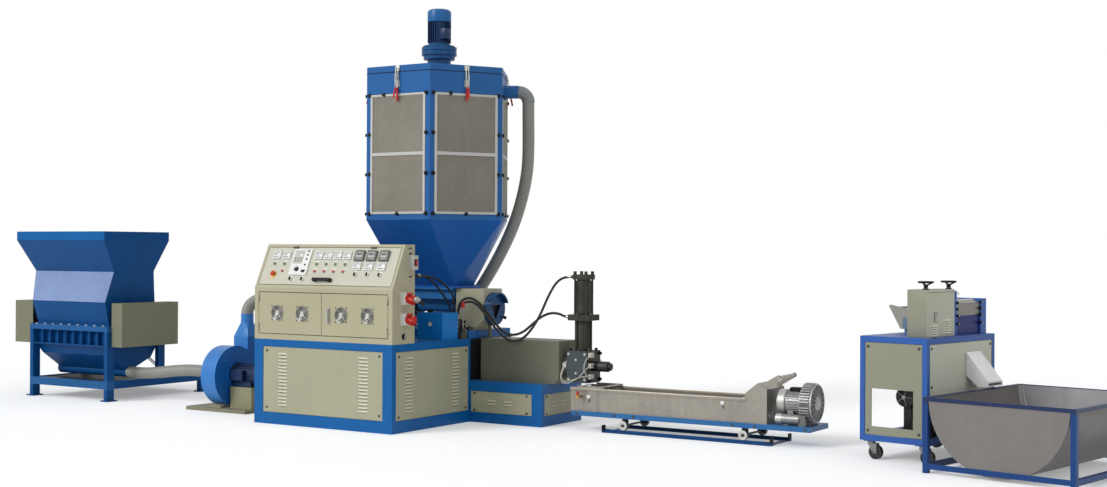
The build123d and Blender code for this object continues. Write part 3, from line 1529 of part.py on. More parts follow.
print("sub-parts", len(pieces) + len(turned_pieces))
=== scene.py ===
"""Looks of a foam recycling line: paint, metal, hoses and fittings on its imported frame."""

import logging
from collections.abc import Callable, Iterable, Sequence
from dataclasses import dataclass, replace
from enum import Enum
from functools import cache
from math import cos, pi, radians, sin

import bmesh
import bpy
from mathutils import Matrix, Vector


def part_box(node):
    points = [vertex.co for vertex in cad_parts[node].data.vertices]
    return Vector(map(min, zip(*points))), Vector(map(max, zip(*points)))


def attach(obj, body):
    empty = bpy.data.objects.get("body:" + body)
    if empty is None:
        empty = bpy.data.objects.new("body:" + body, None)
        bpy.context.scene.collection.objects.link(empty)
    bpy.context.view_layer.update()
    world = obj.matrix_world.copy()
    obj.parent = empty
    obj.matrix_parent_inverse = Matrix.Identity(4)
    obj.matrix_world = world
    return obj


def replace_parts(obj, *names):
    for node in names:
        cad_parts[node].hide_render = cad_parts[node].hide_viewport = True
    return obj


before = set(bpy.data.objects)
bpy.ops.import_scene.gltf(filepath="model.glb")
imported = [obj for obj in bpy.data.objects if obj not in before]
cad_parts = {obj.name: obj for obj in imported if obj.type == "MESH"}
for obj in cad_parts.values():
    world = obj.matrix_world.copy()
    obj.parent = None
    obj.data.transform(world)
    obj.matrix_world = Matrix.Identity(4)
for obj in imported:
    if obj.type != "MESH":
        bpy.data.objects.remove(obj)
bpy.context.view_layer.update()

log = logging.getLogger("recycling_line")
Point = tuple[float, float, float]
Colour = tuple[float, float, float]
Socket = bpy.types.NodeSocket

UP, FRONT, BACK, LEFT, RIGHT = (0, 0, 1), (0, -1, 0), (0, 1, 0), (-1, 0, 0), (1, 0, 0)
STATION_ORIGIN, STATION_TURN = (5.221, -0.138, 0), radians(11.5)
DESK_ORIGIN, DESK_SLOPE = (0, -0.925, 1.24), radians(65.62)
STATION = Matrix.Translation(STATION_ORIGIN) @ Matrix.Rotation(-STATION_TURN, 4, "Z")
DESK = Matrix.Translation(DESK_ORIGIN) @ Matrix.Rotation(DESK_SLOPE, 4, "X")
DUST_COLOUR = (0.42, 0.4, 0.36)
RIB_HEIGHT, RIB_PITCH, SLEEVE_RADIUS = 0.0015, 0.018, 0.0605
HOSE_SHARP = 80.0


class Wiring:
    """Adds nodes to one tree and joins them."""

    def __init__(self, tree: bpy.types.NodeTree) -> None:
        """Keeps the tree that the nodes go into."""
        self.tree = tree

    def add(self, kind: str, inputs: dict | None = None, **settings: object) -> bpy.types.Node:
        """Adds one node.

        Args:
            kind: The node's type name.
            inputs: Values or sockets for its inputs, by name or place.
            settings: Properties of the node.

        Returns:
            The new node.
        """
        node = self.tree.nodes.new(kind)
        for key, value in settings.items():
            setattr(node, key, value)
        for key, value in (inputs or {}).items():
            if isinstance(value, Socket):
                self.tree.links.new(value, node.inputs[key])
            else:
                node.inputs[key].default_value = value
        return node

    def out(self, kind: str, inputs: dict | None = None, **settings: object) -> Socket:
        """Adds one node and returns its first output."""
        return self.add(kind, inputs, **settings).outputs[0]

    def geo(self, kind: str, inputs: dict | None = None, **settings: object) -> Socket:
        """Adds one geometry node and returns its first output."""
        return self.out(f"GeometryNode{kind}", inputs, **settings)

    def group(self, tree: bpy.types.NodeTree, **values: object) -> bpy.types.bpy_prop_collection:
        """Adds a shader group with its values and returns its outputs."""
        return self.add("ShaderNodeGroup", values, node_tree=tree).outputs

    def math(self, operation: str, *values: object, clamp: bool = False) -> Socket:
        """Adds a Math node and returns its result."""
        return self.out("ShaderNodeMath", dict(enumerate(values)), operation=operation, use_clamp=clamp)

    def vector(self, operation: str, *values: object) -> bpy.types.bpy_prop_collection:
        """Adds a Vector Math node and returns its outputs."""
        return self.add("ShaderNodeVectorMath", dict(enumerate(values)), operation=operation).outputs

    def mix(self, share: object, low: object, high: object) -> Socket:
        """Mixes two colours by a share and returns the result."""
        return self.add("ShaderNodeMix", {0: share, 6: low, 7: high}, data_type="RGBA").outputs[2]

    def noise(self, place: object, scale: object, detail: float = 2.0) -> Socket:
        """Adds a noise pattern and returns its value."""
        return self.out("ShaderNodeTexNoise", {"Vector": place, "Scale": scale, "Detail": detail})

    def span(self, value: object, low: float, high: float, to_low: object, to_high: object) -> Socket:
        """Maps a value from one range to another, held at the ends."""
        return self.out("ShaderNodeMapRange", {0: value, 1: low, 2: high, 3: to_low, 4: to_high})

    def place(self) -> Socket:
        """Returns the Object coordinates."""
        return self.add("ShaderNodeTexCoord").outputs["Object"]

    def normal(self) -> Socket:
        """Returns the surface's normal."""
        return self.add("ShaderNodeNewGeometry").outputs["Normal"]

    def point(self, x: object = 0.0, y: object = 0.0, z: object = 0.0) -> Socket:
        """Makes a vector of three values."""
        return self.out("ShaderNodeCombineXYZ", {0: x, 1: y, 2: z})

    def parts(self, vector: object) -> bpy.types.bpy_prop_collection:
        """Splits a vector into its three values."""
        return self.add("ShaderNodeSeparateXYZ", {0: vector}).outputs

    def rotation(self, angles: Socket) -> Socket:
        """Makes a rotation of three angles."""
        return self.out("FunctionNodeEulerToRotation", {0: angles})

    def turn(self) -> Socket:
        """Returns the turn that every spot carries."""
        return self.rotation(self.geo("InputNamedAttribute", {"Name": "turn"}, data_type="FLOAT_VECTOR"))

    def joined(self, *shapes: Socket) -> Socket:
        """Joins shapes into one geometry."""
        both = self.add("GeometryNodeJoinGeometry")
        for shape in shapes:
            self.tree.links.new(shape, both.inputs[0])
        return both.outputs[0]

    def paint(self, shape: Socket, material: Socket, **selection: Socket) -> Socket:
        """Gives a geometry its material."""
        return self.geo("SetMaterial", {"Geometry": shape, "Material": material, **selection})

    def stood(self, points: Socket, shape: Socket) -> Socket:
        """Sets a shape on every point by the point's own turn and returns the real geometry."""
        placed = self.geo("InstanceOnPoints", {"Points": points, "Instance": shape, "Rotation": self.turn()})
        return self.geo("RealizeInstances", {0: placed})


def rgba(colour: Colour, share: float = 1.0) -> tuple[float, float, float, float]:
    """Returns a share of a colour's light, with full opacity."""
    return (*(c * share for c in colour), 1.0)


FLOAT, INTEGER, COLOUR, VECTOR = "NodeSocketFloat", "NodeSocketInt", "NodeSocketColor", "NodeSocketVector"
GEOMETRY, MATERIAL = "NodeSocketGeometry", "NodeSocketMaterial"


def node_group(kind: str, outputs: dict[str, str], inputs: dict[str, tuple[str, object]]) -> Callable:
    """Turns a function that wires a node group into one that builds the group once.

    Args:
        kind: Shader or Geometry.
        outputs: Socket type of each output, by name.
        inputs: Socket type and default of each input, by name.

    Returns:
        The decorator.
    """

    def decorate(wire: Callable) -> Callable:
        """Wraps one wiring function."""

        @cache
        def build() -> bpy.types.NodeTree:
            """Builds the group."""
            tree = bpy.data.node_groups.new(wire.__name__, f"{kind}NodeTree")
            for label, (socket, default) in inputs.items():
                made = tree.interface.new_socket(label, in_out="INPUT", socket_type=socket)
                if default is not None:
                    made.default_value = default
            for label, socket in outputs.items():
                tree.interface.new_socket(label, in_out="OUTPUT", socket_type=socket)
            w = Wiring(tree)
            results = wire(w, w.add("NodeGroupInput").outputs)
            w.add("NodeGroupOutput", dict(zip(outputs, results)))
            return tree

        return build

    return decorate


@node_group("Shader", {"Colour": COLOUR}, {
    "Colour": (COLOUR, (1, 1, 1, 1)), "Amount": (FLOAT, 0.1), "Scale": (FLOAT, 2.0)})
def tone_drift(w: Wiring, given: dict[str, Socket]) -> tuple[Socket]:
    """Lets a colour drift a little lighter and darker over a surface."""
    broad = w.noise(w.place(), given["Scale"], 3)
    fine = w.noise(w.place(), w.math("MULTIPLY", given["Scale"], 9.0), 2)
    both = w.math("MULTIPLY_ADD", fine, 0.35, w.math("MULTIPLY", broad, 0.65))
    lowest, highest = (w.math(way, 1.0, given["Amount"]) for way in ("SUBTRACT", "ADD"))
    gain = w.span(both, 0.3, 0.7, lowest, highest)
    return (w.out("ShaderNodeVectorMath", {0: given["Colour"], 3: gain}, operation="SCALE"),)


@node_group("Shader", {"Mask": FLOAT}, {"Amount": (FLOAT, 0.2)})
def settled_dust(w: Wiring, given: dict[str, Socket]) -> tuple[Socket]:
    """Masks the dust that lies on faces that look up."""
    flat = w.span(w.parts(w.normal())[2], 0.5, 1.0, 0.0, 1.0)
    patch = w.span(w.noise(w.place(), 7.0, 4), 0.35, 0.75, 0.2, 1.0)
    return (w.math("MULTIPLY", w.math("MULTIPLY", flat, patch), given["Amount"], clamp=True),)


@node_group("Shader", {"Height": FLOAT, "Tone": FLOAT}, {
    "Stretch": (VECTOR, (1, 1, 1)), "Scale": (FLOAT, 300.0)})
def fine_relief(w: Wiring, given: dict[str, Socket]) -> tuple[Socket, Socket]:
    """Stretches a noise for orange peel, casting skin or brushed grain."""
    value = w.noise(w.vector("MULTIPLY", w.place(), given["Stretch"])[0], given["Scale"], 2)
    return value, w.span(value, 0.25, 0.75, -1.0, 1.0)


@node_group("Shader", {"Mask": FLOAT}, {"Amount": (FLOAT, 0.2)})
def run_marks(w: Wiring, given: dict[str, Socket]) -> tuple[Socket]:
    """Masks faint marks that run down a sheet."""
    drawn_out = w.vector("MULTIPLY", w.place(), (14.0, 14.0, 1.1))[0]
    streak = w.span(w.noise(drawn_out, 1.0, 4), 0.48, 0.75, 0.0, 1.0)
    patch = w.span(w.noise(w.place(), 1.7, 3), 0.35, 0.65, 0.0, 1.0)
    return (w.math("MULTIPLY", w.math("MULTIPLY", streak, patch), given["Amount"], clamp=True),)


@node_group("Shader", {"Mask": FLOAT}, {
    "Low": (VECTOR, (0, 0, 0)), "High": (VECTOR, (1, 1, 1)), "Facing": (VECTOR, (0, 0, 0)),
    "Turn": (VECTOR, (0, 0, 0)), "Origin": (VECTOR, (0, 0, 0))})
def box_zone(w: Wiring, given: dict[str, Socket]) -> tuple[Socket]:
    """Masks the inside of a box, on faces that look a given way, or on all where none is given."""
    moved = w.vector("SUBTRACT", w.place(), given["Origin"])[0]
    turned = w.out("ShaderNodeVectorRotate", {"Vector": moved, "Rotation": given["Turn"]}, rotation_type="EULER_XYZ")
    mask: object = 1.0
    for corner, order in (("Low", 1.0), ("High", -1.0)):
        for axis in w.parts(w.vector("SUBTRACT", turned, given[corner])[0]):
            mask = w.math("MULTIPLY", mask, w.math("GREATER_THAN", w.math("MULTIPLY", axis, order), 0.0))
    along = w.vector("DOT_PRODUCT", w.normal(), given["Facing"])["Value"]
    length = w.vector("LENGTH", given["Facing"])["Value"]
    looks = w.math("GREATER_THAN", along, w.math("MULTIPLY_ADD", length, 1.7, -1.0))
    return (w.math("MULTIPLY", mask, looks),)


class Place(Enum):
    """The frame that a zone is given in: its origin and the turn that undoes it."""

    LINE = ((0, 0, 0), (0, 0, 0))
    STATION = (STATION_ORIGIN, (0, 0, STATION_TURN))
    DESK = (DESK_ORIGIN, (-DESK_SLOPE, 0, 0))


class Relief(Enum):
    """The fine relief of a surface: how its noise is stretched, its scale and its depth."""

    PEEL = ((1, 1, 1), 260.0, 0.05)
    CAST = ((1, 1, 1), 140.0, 0.35)
    GRAIN_X = ((0.03, 1, 1), 420.0, 0.12)
    GRAIN_Z = ((1, 1, 0.03), 420.0, 0.12)
    RUBBER = ((1, 1, 1), 500.0, 0.2)
    PLAIN = ((1, 1, 1), 80.0, 0.01)


@dataclass(frozen=True)
class Zone:
    """A box on a piece that is painted otherwise, and the way that its faces look."""

    low: Point
    high: Point
    colour: Colour
    roughness: float = 0.4
    metallic: float = 0.0
    facing: Point = (0, 0, 0)
    place: Place = Place.LINE


@dataclass(frozen=True)
class Finish:
    """One surface: its colour, gloss, relief, drift, dust, marks and zones."""

    name: str
    colour: Colour
    roughness: float = 0.4
    metallic: float = 0.0
    relief: Relief = Relief.PEEL
    drift: float = 0.06
    drift_scale: float = 2.0
    dust: float = 0.12
    marks: float = 0.0
    gloss: float = 0.3
    zones: tuple[Zone, ...] = ()
    weave: float = 0.0
    ribbed: bool = False

    @cache
    def material(self) -> bpy.types.Material:
        """Builds the material once and returns it."""
        material = bpy.data.materials.new(self.name)
        material.use_nodes = True
        material.node_tree.nodes.clear()
        w = Wiring(material.node_tree)
        stretch, scale, depth = self.relief.value
        height, tone = w.group(fine_relief(), Stretch=stretch, Scale=scale)
        colour, roughness, metallic = self._zoned(w)
        # Painted shade: where the stored crest wave is low, the rib troughs are painted down to 0.45 of the colour, and
        # the crests keep the full colour.
        if self.ribbed:
            crest = w.add("ShaderNodeAttribute", attribute_name="crest").outputs["Fac"]
            colour = w.mix(w.span(crest, -1.0, 0.6, 0.45, 0.0), colour, rgba(self.colour, 0.45))
        colour = w.group(tone_drift(), Colour=colour, Amount=self.drift, Scale=self.drift_scale)[0]
        if self.marks:
            runs = w.group(run_marks(), Amount=self.marks)[0]
            colour = w.mix(runs, colour, rgba(self.colour, 0.5))
            roughness = w.math("MULTIPLY_ADD", runs, 0.3, roughness)
        if self.weave:
            colour, height = self._woven(w, colour)
            depth = 0.6
        if self.dust:
            colour = w.mix(w.group(settled_dust(), Amount=self.dust)[0], colour, rgba(DUST_COLOUR))
        roughness = w.math("MULTIPLY_ADD", tone, 0.05, roughness, clamp=True)
        shader = w.out("ShaderNodeBsdfPrincipled", {
            "Base Color": colour, "Roughness": roughness, "Metallic": metallic, "Specular IOR Level": self.gloss,
            "Normal": w.out("ShaderNodeBump", {"Height": height, "Strength": depth, "Distance": 0.001})})
        w.add("ShaderNodeOutputMaterial", {"Surface": shader})
        return material

    def _zoned(self, w: Wiring) -> tuple[object, object, object]:
        """Lays the zones over the plain colour, roughness and metallic values."""
        colour: object = rgba(self.colour)
        values: list[object] = [self.roughness, self.metallic]
        for zone in self.zones:
            origin, turn = zone.place.value
            share = w.group(box_zone(), Low=zone.low, High=zone.high, Facing=zone.facing, Origin=origin, Turn=turn)[0]
            colour = w.mix(share, colour, rgba(zone.colour))
            values = [w.math("MULTIPLY_ADD", share, w.math("SUBTRACT", new, old), old)
                      for new, old in zip((zone.roughness, zone.metallic), values)]
        return colour, *values

    def _woven(self, w: Wiring, colour: object) -> tuple[object, object]:
        """Crosses fine wires over the surface, level ones and upright ones."""
        parts = w.parts(w.place())
        around = w.math("ADD", w.math("MULTIPLY", parts[0], 0.9), w.math("MULTIPLY", parts[1], 0.7))
        level, upright = (w.math("SINE", w.math("MULTIPLY", way, 2 * pi / self.weave)) for way in (parts[2], around))
        wires = w.math("MAXIMUM", level, upright)
        shine = w.span(wires, -0.2, 0.9, 0.0, 0.55)
        tone = w.math("MULTIPLY_ADD", w.noise(w.place(), 3.0, 4), 0.5, shine, clamp=True)
        return w.mix(tone, rgba(self.colour, 0.5), colour), wires


BLUE = Finish("machine_blue", (0.004, 0.115, 0.36), 0.32, drift=0.06, gloss=0.2)
CRUSHER_BLUE = Finish("crusher_blue", (0.004, 0.072, 0.24), 0.35, drift=0.08, dust=0.06, gloss=0.1)
FUNNEL_BLUE = Finish("funnel_blue", (0.012, 0.105, 0.39), 0.3, drift=0.08, gloss=0.2)
LIGHT_BLUE = Finish("light_blue", (0.035, 0.155, 0.45), 0.32, drift=0.06, gloss=0.2)
CUTTER_BLUE = Finish("cutter_blue", (0.035, 0.115, 0.4), 0.34, drift=0.05, gloss=0.2)
GEAR_BLUE = Finish("gear_blue", (0.007, 0.085, 0.24), 0.32, drift=0.08)
CAP_BLUE = Finish("cap_blue", (0.01, 0.12, 0.33), 0.32, drift=0.06)
NAVY = Finish("motor_navy", (0.01, 0.03, 0.1), 0.35, drift=0.08)
CREAM = Finish("panel_cream", (0.44, 0.415, 0.275), 0.45, drift=0.03, dust=0.05)
PANEL = Finish("louvre_panel", (0.4, 0.39, 0.27), 0.42, drift=0.05, dust=0.05, marks=0.12)
# Painted light: the pale colour of the cutter panels' faces that look right; their other faces get a dark shaded copy
# of it.
CUTTER_LIT_SIDE = Finish("cutter_lit_side_paint", (0.6, 0.615, 0.49), 0.42, drift=0.03, dust=0.05)
# Painted light and shade: the head box's faces that look right (station +X) get the pale lit colour, the others a dark
# shaded copy of the same paint.
HEAD_PAINT_LIT_AND_SHADED = Finish("head_box_paint_lit_and_shaded", (0.278, 0.281, 0.21), 0.42, drift=0.03, dust=0.05, zones=(
    Zone((-0.1, 0.0, 0.9), (0.0, 0.6, 1.35), (0.545, 0.545, 0.43), 0.42, facing=(1, 0, 0), place=Place.STATION),))
# Painted highlight: the louvre lips are paler than the panel sheet that they are pressed from.
LIT_LOUVRE = Finish("louvre_lip_highlight", (0.62, 0.6, 0.46), 0.42, drift=0.03, dust=0.0)
OLIVE = Finish("cover_olive", (0.27, 0.27, 0.18), 0.5, drift=0.08, dust=0.25)
STEEL = Finish("sheet_steel", (0.46, 0.44, 0.41), 0.36, 0.7, Relief.GRAIN_X, 0.1, 3.0, marks=0.25)
RIM_STEEL = Finish("rim_steel", (0.52, 0.46, 0.38), 0.4, 0.4, Relief.GRAIN_X, 0.15, 5.0, dust=0.0)
DULL_STEEL = Finish("dull_steel", (0.3, 0.29, 0.27), 0.42, 0.7, Relief.CAST, 0.1, 4.0)
PALE_STEEL = Finish("pale_steel", (0.6, 0.6, 0.58), 0.35, 0.6, Relief.PLAIN, 0.05, 4.0, dust=0.0)
DARK = Finish("oiled_steel", (0.045, 0.045, 0.045), 0.38, 0.4, Relief.CAST, 0.15, 6.0, dust=0.05)
CYLINDER = Finish(
    "cylinder_steel", (0.05, 0.048, 0.038), 0.6, 0.2, Relief.CAST, 0.35, 6.0, dust=0.05, marks=0.5, gloss=0.15)
BLACK = Finish("black_fitting", (0.012, 0.012, 0.014), 0.5, relief=Relief.PLAIN, dust=0.02, gloss=0.15)
GLASSY = Finish("meter_window", (0.5, 0.52, 0.51), 0.15, relief=Relief.PLAIN, drift=0.03, dust=0.0, gloss=0.5)
RED = Finish("red_fitting", (0.55, 0.02, 0.015), 0.3, relief=Relief.PLAIN, dust=0.0)
GREEN = Finish("green_button", (0.02, 0.2, 0.08), 0.3, relief=Relief.PLAIN, dust=0.0)
YELLOW = Finish("yellow_plate", (0.75, 0.5, 0.03), 0.35, relief=Relief.PLAIN, dust=0.0)
BRASS = Finish("brass", (0.5, 0.33, 0.12), 0.3, 0.8, relief=Relief.PLAIN, dust=0.0)
WHITE = Finish("white_case", (0.8, 0.8, 0.78), 0.4, relief=Relief.PLAIN, drift=0.02, dust=0.0)
PALE = Finish("pale_ceramic", (0.55, 0.54, 0.48), 0.5, relief=Relief.PLAIN, drift=0.05, dust=0.0)
GREY = Finish("grey_case", (0.13, 0.135, 0.13), 0.4, relief=Relief.PLAIN, drift=0.03, dust=0.0)
# ribbed=True paints shade into the hose's rib troughs.
HOSE = Finish("duct_hose", (0.33, 0.325, 0.29), 0.42, relief=Relief.PLAIN, drift=0.1, drift_scale=3.0, ribbed=True)
RUBBER = Finish("hose_rubber", (0.018, 0.018, 0.018), 0.42, relief=Relief.RUBBER, drift=0.15, dust=0.1)
TYRE = Finish("caster_tyre", (0.025, 0.025, 0.026), 0.55, relief=Relief.RUBBER, drift=0.15, dust=0.2)
SCREW = Finish("panel_screw", (0.1, 0.09, 0.07), 0.35, 0.8, relief=Relief.PLAIN, dust=0.0)
ZINC = Finish("zinc_plate", (0.55, 0.54, 0.5), 0.35, 0.8, Relief.GRAIN_Z, dust=0.0)
BLOWER_ALLOY = Finish("blower_casting", (0.5, 0.5, 0.49), 0.55, 0.7, Relief.CAST, dust=0.1)
CAP_ALLOY = Finish("blower_cap", (0.5, 0.5, 0.48), 0.5, 0.7, Relief.CAST, dust=0.0)
FRAME_ALLOY = Finish("silo_frame_alloy", (0.52, 0.52, 0.5), 0.4, 0.3, Relief.GRAIN_Z, dust=0.0)
CLOTH = Finish("wire_cloth", (0.3, 0.275, 0.225), 0.55, 0.2, Relief.PLAIN, 0.12, 2.2, dust=0.0, marks=0.25, weave=0.009)


def dress(finish: Finish, *nodes: str, **changes: object) -> None:
    """Gives CAD nodes a finish.

    Args:
        finish: The surface that they get.
        nodes: The names of the nodes.
        changes: Values of the finish that are different on these nodes.
    """
    finish = replace(finish, **changes)
    for node in nodes:
        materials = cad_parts[node].data.materials
        materials.clear()
        materials.append(finish.material())
        log.info("dressed %s in %s", node, finish.name)


def put(name: str, data: bpy.types.ID) -> bpy.types.Object:
    """Puts data into the scene as a new object."""
    made = bpy.data.objects.new(name, data)
    bpy.context.scene.collection.objects.link(made)
    return made


def keep(mesh: bpy.types.Mesh, name: str, body: str, sharp: float = 35.0) -> bpy.types.Object:
    """Makes a finished mesh a piece of the object.

    Args:
        mesh: The mesh, in place.
        name: The piece's name.
        body: The CAD body that it moves with.
        sharp: The angle in degrees past which an edge stays hard.

    Returns:
        The piece.
    """
    mesh.polygons.foreach_set("use_smooth", [True] * len(mesh.polygons))
    mesh.set_sharp_from_angle(angle=radians(sharp))
    piece = put(name, mesh)
    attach(piece, body)
    log.info("built %s on %s, %d faces", name, body, len(mesh.polygons))
    return piece


def square_to(axis: Vector) -> Matrix:
    """Returns the turn that takes +Z to an axis."""
    return axis.to_track_quat("Z", "Y").to_matrix().to_4x4()


def spread(low: float, high: float, count: int) -> list[float]:
    """Returns evenly spaced values from one end to the other."""
    return [low + (high - low) * k / (count - 1) for k in range(count)]


def circle(radius: float, count: int) -> list[tuple[float, float]]:
    """Returns evenly spaced points round a circle."""
    return [(radius * cos(2 * pi * k / count), radius * sin(2 * pi * k / count)) for k in range(count)]


class Maker:
    """Collects closed shapes with their finishes in one mesh."""

    def __init__(self, name: str, place: Matrix | None = None) -> None:
        """Starts an empty mesh.

        Args:
            name: The piece's name.
            place: The frame that the shapes are given in.
        """
        self.name = name
        self.place = place or Matrix()
        self.bm = bmesh.new()
        self.finishes: list[Finish] = []

    def _settle(self, verts: list, finish: Finish, bevel: float = 0.0) -> None:
        """Gives the new shape its finish, breaks its edges and takes it to its place."""
        if finish not in self.finishes:
            self.finishes.append(finish)
        index = self.finishes.index(finish)
        faces = {f for v in verts for f in v.link_faces}
        for face in faces:
            face.material_index = index
        if bevel:
            edges = list({e for v in verts for e in v.link_edges})
            made = bmesh.ops.bevel(self.bm, geom=edges, offset=bevel, segments=2, affect="EDGES", profile=0.5)
            faces = {f for f in faces if f.is_valid} | set(made["faces"])
        for face in faces:
            face.material_index = index
        bmesh.ops.transform(self.bm, matrix=self.place, verts=list({v for f in faces for v in f.verts}))

    def _ring(self, points: Iterable[Vector]) -> list:
        """Adds the vertices of one ring."""
        return [self.bm.verts.new(p) for p in points]

    def _close(self, rings: list, faces: list, finish: Finish, ends: bool) -> None:
        """Closes a skin of rings with end faces, where it has ends, and settles it."""
        if ends:
            faces += [self.bm.faces.new(ring) for ring in (rings[0][::-1], rings[-1]) if len(ring) > 1]
        bmesh.ops.recalc_face_normals(self.bm, faces=faces)
        self._settle([v for ring in rings for v in ring], finish)

    def _cube(self, place: Matrix, finish: Finish, bevel: float = 0.0) -> None:
        """Adds a unit cube that is stretched and placed by a matrix."""
        self._settle(bmesh.ops.create_cube(self.bm, size=1.0, matrix=place)["verts"], finish, bevel)

    def block(self, low: Point, high: Point, finish: Finish, bevel: float = 0.0015) -> None:
        """Adds a block between two corners, with its edges broken."""
        size = Vector(high) - Vector(low)
        middle = (Vector(high) + Vector(low)) / 2
        self._cube(Matrix.Translation(middle) @ Matrix.Diagonal((*size, 1)), finish, min(bevel, min(size) * 0.4))

    def plate(self, x: float, y: float, half: tuple[float, float], levels: tuple[float, float], finish: Finish,
              bevel: float = 0.001) -> None:
        """Adds a block round a point, between two levels.

        Args:
            x: The point's first coordinate.
            y: The point's second coordinate.
            half: Half its width and half its depth.
            levels: Its lower and upper level.
            finish: Its surface.
            bevel: How far its edges are broken.
        """
        wide, deep = half
        self.block((x - wide, y - deep, levels[0]), (x + wide, y + deep, levels[1]), finish, bevel)

    def rod(self, start: Point, end: Point, radius: float, finish: Finish, sides: int = 20) -> None:
        """Adds a round bar between two points."""
        axis = Vector(end) - Vector(start)
        place = Matrix.Translation((Vector(start) + Vector(end)) / 2) @ square_to(axis)
        made = bmesh.ops.create_cone(self.bm, cap_ends=True, segments=sides, radius1=radius, radius2=radius,
                                     depth=axis.length, matrix=place)
        self._settle(made["verts"], finish)

    def lathe(self, profile: Sequence[tuple[float, float]], origin: Point, axis: Point, finish: Finish,
              sides: int = 28, hollow: bool = False) -> None:
        """Adds a turned shape.

        Args:
            profile: Radius and height of each step, from the bottom to the top.
            origin: Where height zero is.
            axis: The way that heights go.
            finish: Its surface.
            sides: How many sides it has.
            hollow: Whether the profile closes on itself, round an open middle.
        """
        place = Matrix.Translation(origin) @ square_to(Vector(axis))
        rings = [self._ring(place @ Vector((x, y, height)) for x, y in circle(radius, sides)[:sides if radius else 1])
                 for radius, height in profile]
        faces = []
        for low, high in zip(rings, rings[1:] + rings[:1] if hollow else rings[1:]):
            for k in range(sides):
                corners = (low[k % len(low)], low[(k + 1) % len(low)], high[(k + 1) % len(high)], high[k % len(high)])
                corners = tuple(dict.fromkeys(corners))
                if len(corners) > 2:
                    faces.append(self.bm.faces.new(corners))
        self._close(rings, faces, finish, not hollow)

    def tube(self, radii: tuple[float, float], heights: tuple[float, float], origin: Point, axis: Point, finish: Finish,
             sides: int) -> None:
        """Adds a plain ring.

        Args:
            radii: Its inner and outer radius.
            heights: Its lower and upper end.
            origin: Where height zero is.
            axis: The way that heights go.
            finish: Its surface.
            sides: How many sides it has.
        """
        (inner, outer), (low, high) = radii, heights
        self.lathe(((inner, low), (outer, low), (outer, high), (inner, high)), origin, axis, finish, sides, True)

    def fins(self, origin: Point, inner: float, outer: float, start: float, end: float, count: int, thickness: float,
             finish: Finish, axis: Point = RIGHT) -> None:
        """Adds flat fins round an axis.

        Args:
            origin: Where height zero is on the axis.
            inner: Radius of the fins' feet.
            outer: Radius of their tips.
            start: Height of their first end.
            end: Height of their other end.
            count: How many fins.
            thickness: Their thickness.
            finish: Their surface.
            axis: The way that heights go.
        """
        turn = Matrix.Translation(origin) @ square_to(Vector(axis))
        shape = Matrix.Translation(((inner + outer) / 2, 0, (start + end) / 2)) @ Matrix.Diagonal(
            (outer - inner, thickness, end - start, 1))
        for k in range(count):
            self._cube(turn @ Matrix.Rotation(2 * pi * k / count, 4, "Z") @ shape, finish)

    def wire(self, points: Sequence[Point], radius: float, finish: Finish, sides: int = 8,
             closed: bool = False) -> None:
        """Adds a thin bent bar through points."""
        line = [Vector(p) for p in points]
        rings = []
        normal = None
        for k, here in enumerate(line):
            before = line[k - 1] if k or closed else here
            after = line[(k + 1) % len(line)] if k + 1 < len(line) or closed else here
            along = (after - before).normalized()
            if normal is None:
                normal = along.orthogonal().normalized()
            normal = (normal - along * normal.dot(along)).normalized()
            side = along.cross(normal)
            rings.append(self._ring(here + normal * a + side * b for a, b in circle(radius, sides)))
        pairs = list(zip(rings, rings[1:])) + ([(rings[-1], rings[0])] if closed else [])
        faces = [self.bm.faces.new((a[s], a[(s + 1) % sides], b[(s + 1) % sides], b[s]))
                 for a, b in pairs for s in range(sides)]
        self._close(rings, faces, finish, not closed)

    def save(self, body: str, slot: str) -> bpy.types.Object:
        """Ends the mesh and makes it a piece on a body."""
        mesh = bpy.data.meshes.new(self.name)
        self.bm.to_mesh(mesh)
        self.bm.free()
        for finish in self.finishes:
            mesh.materials.append(finish.material())
        return keep(mesh, self.name, body)


@dataclass
class Spot:
    """A place for a repeated shape: its point and the way that it faces."""

    point: Point
    facing: Point


def grid(xs: Iterable[float], ys: Iterable[float], zs: Iterable[float], facing: Point) -> list[Spot]:
    """Returns spots at all crossings of the given values, which face one way."""
    return [Spot((x, y, z), facing) for x in xs for y in ys for z in zs]


def ring_spots(centre: Point, axis: Point, radius: float, count: int, start: float = 0.0) -> list[Spot]:
    """Returns spots round a centre, all facing along the axis.

    Args:
        centre: The ring's centre.
        axis: The way that the spots face.
        radius: The ring's radius.
        count: How many spots.
        start: Angle of the first spot.

    Returns:
        The spots.
    """
    turn = square_to(Vector(axis)).to_3x3()
    angles = [start + 2 * pi * k / count for k in range(count)]
    return [Spot(tuple(Vector(centre) + turn @ Vector((radius * cos(a), radius * sin(a), 0))), axis) for a in angles]


def spot_mesh(spots: Iterable[Spot], place: Matrix | None = None) -> bpy.types.Mesh:
    """Makes a mesh of points that carry the turn of the shape that stands on them.

    Args:
        spots: The places.
        place: The frame that they are given in.

    Returns:
        The mesh, with the turns as a named attribute.
    """
    spots, place = list(spots), place or Matrix()
    mesh = bpy.data.meshes.new("spots")
    mesh.from_pydata([place @ Vector(s.point) for s in spots], [], [])
    turns = mesh.attributes.new("turn", "FLOAT_VECTOR", "POINT")
    values: list[float] = []
    for s in spots:
        out = (place.to_3x3() @ Vector(s.facing)).normalized()
        up = place.to_3x3() @ Vector(UP)
        if abs(out.dot(up)) > 0.9:
            up = Vector(BACK)
        up = (up - out * up.dot(out)).normalized()
        basis = Matrix((up.cross(out), up, out)).transposed()
        values.extend(basis.to_euler("XYZ"))
    turns.data.foreach_set("vector", values)
    return mesh


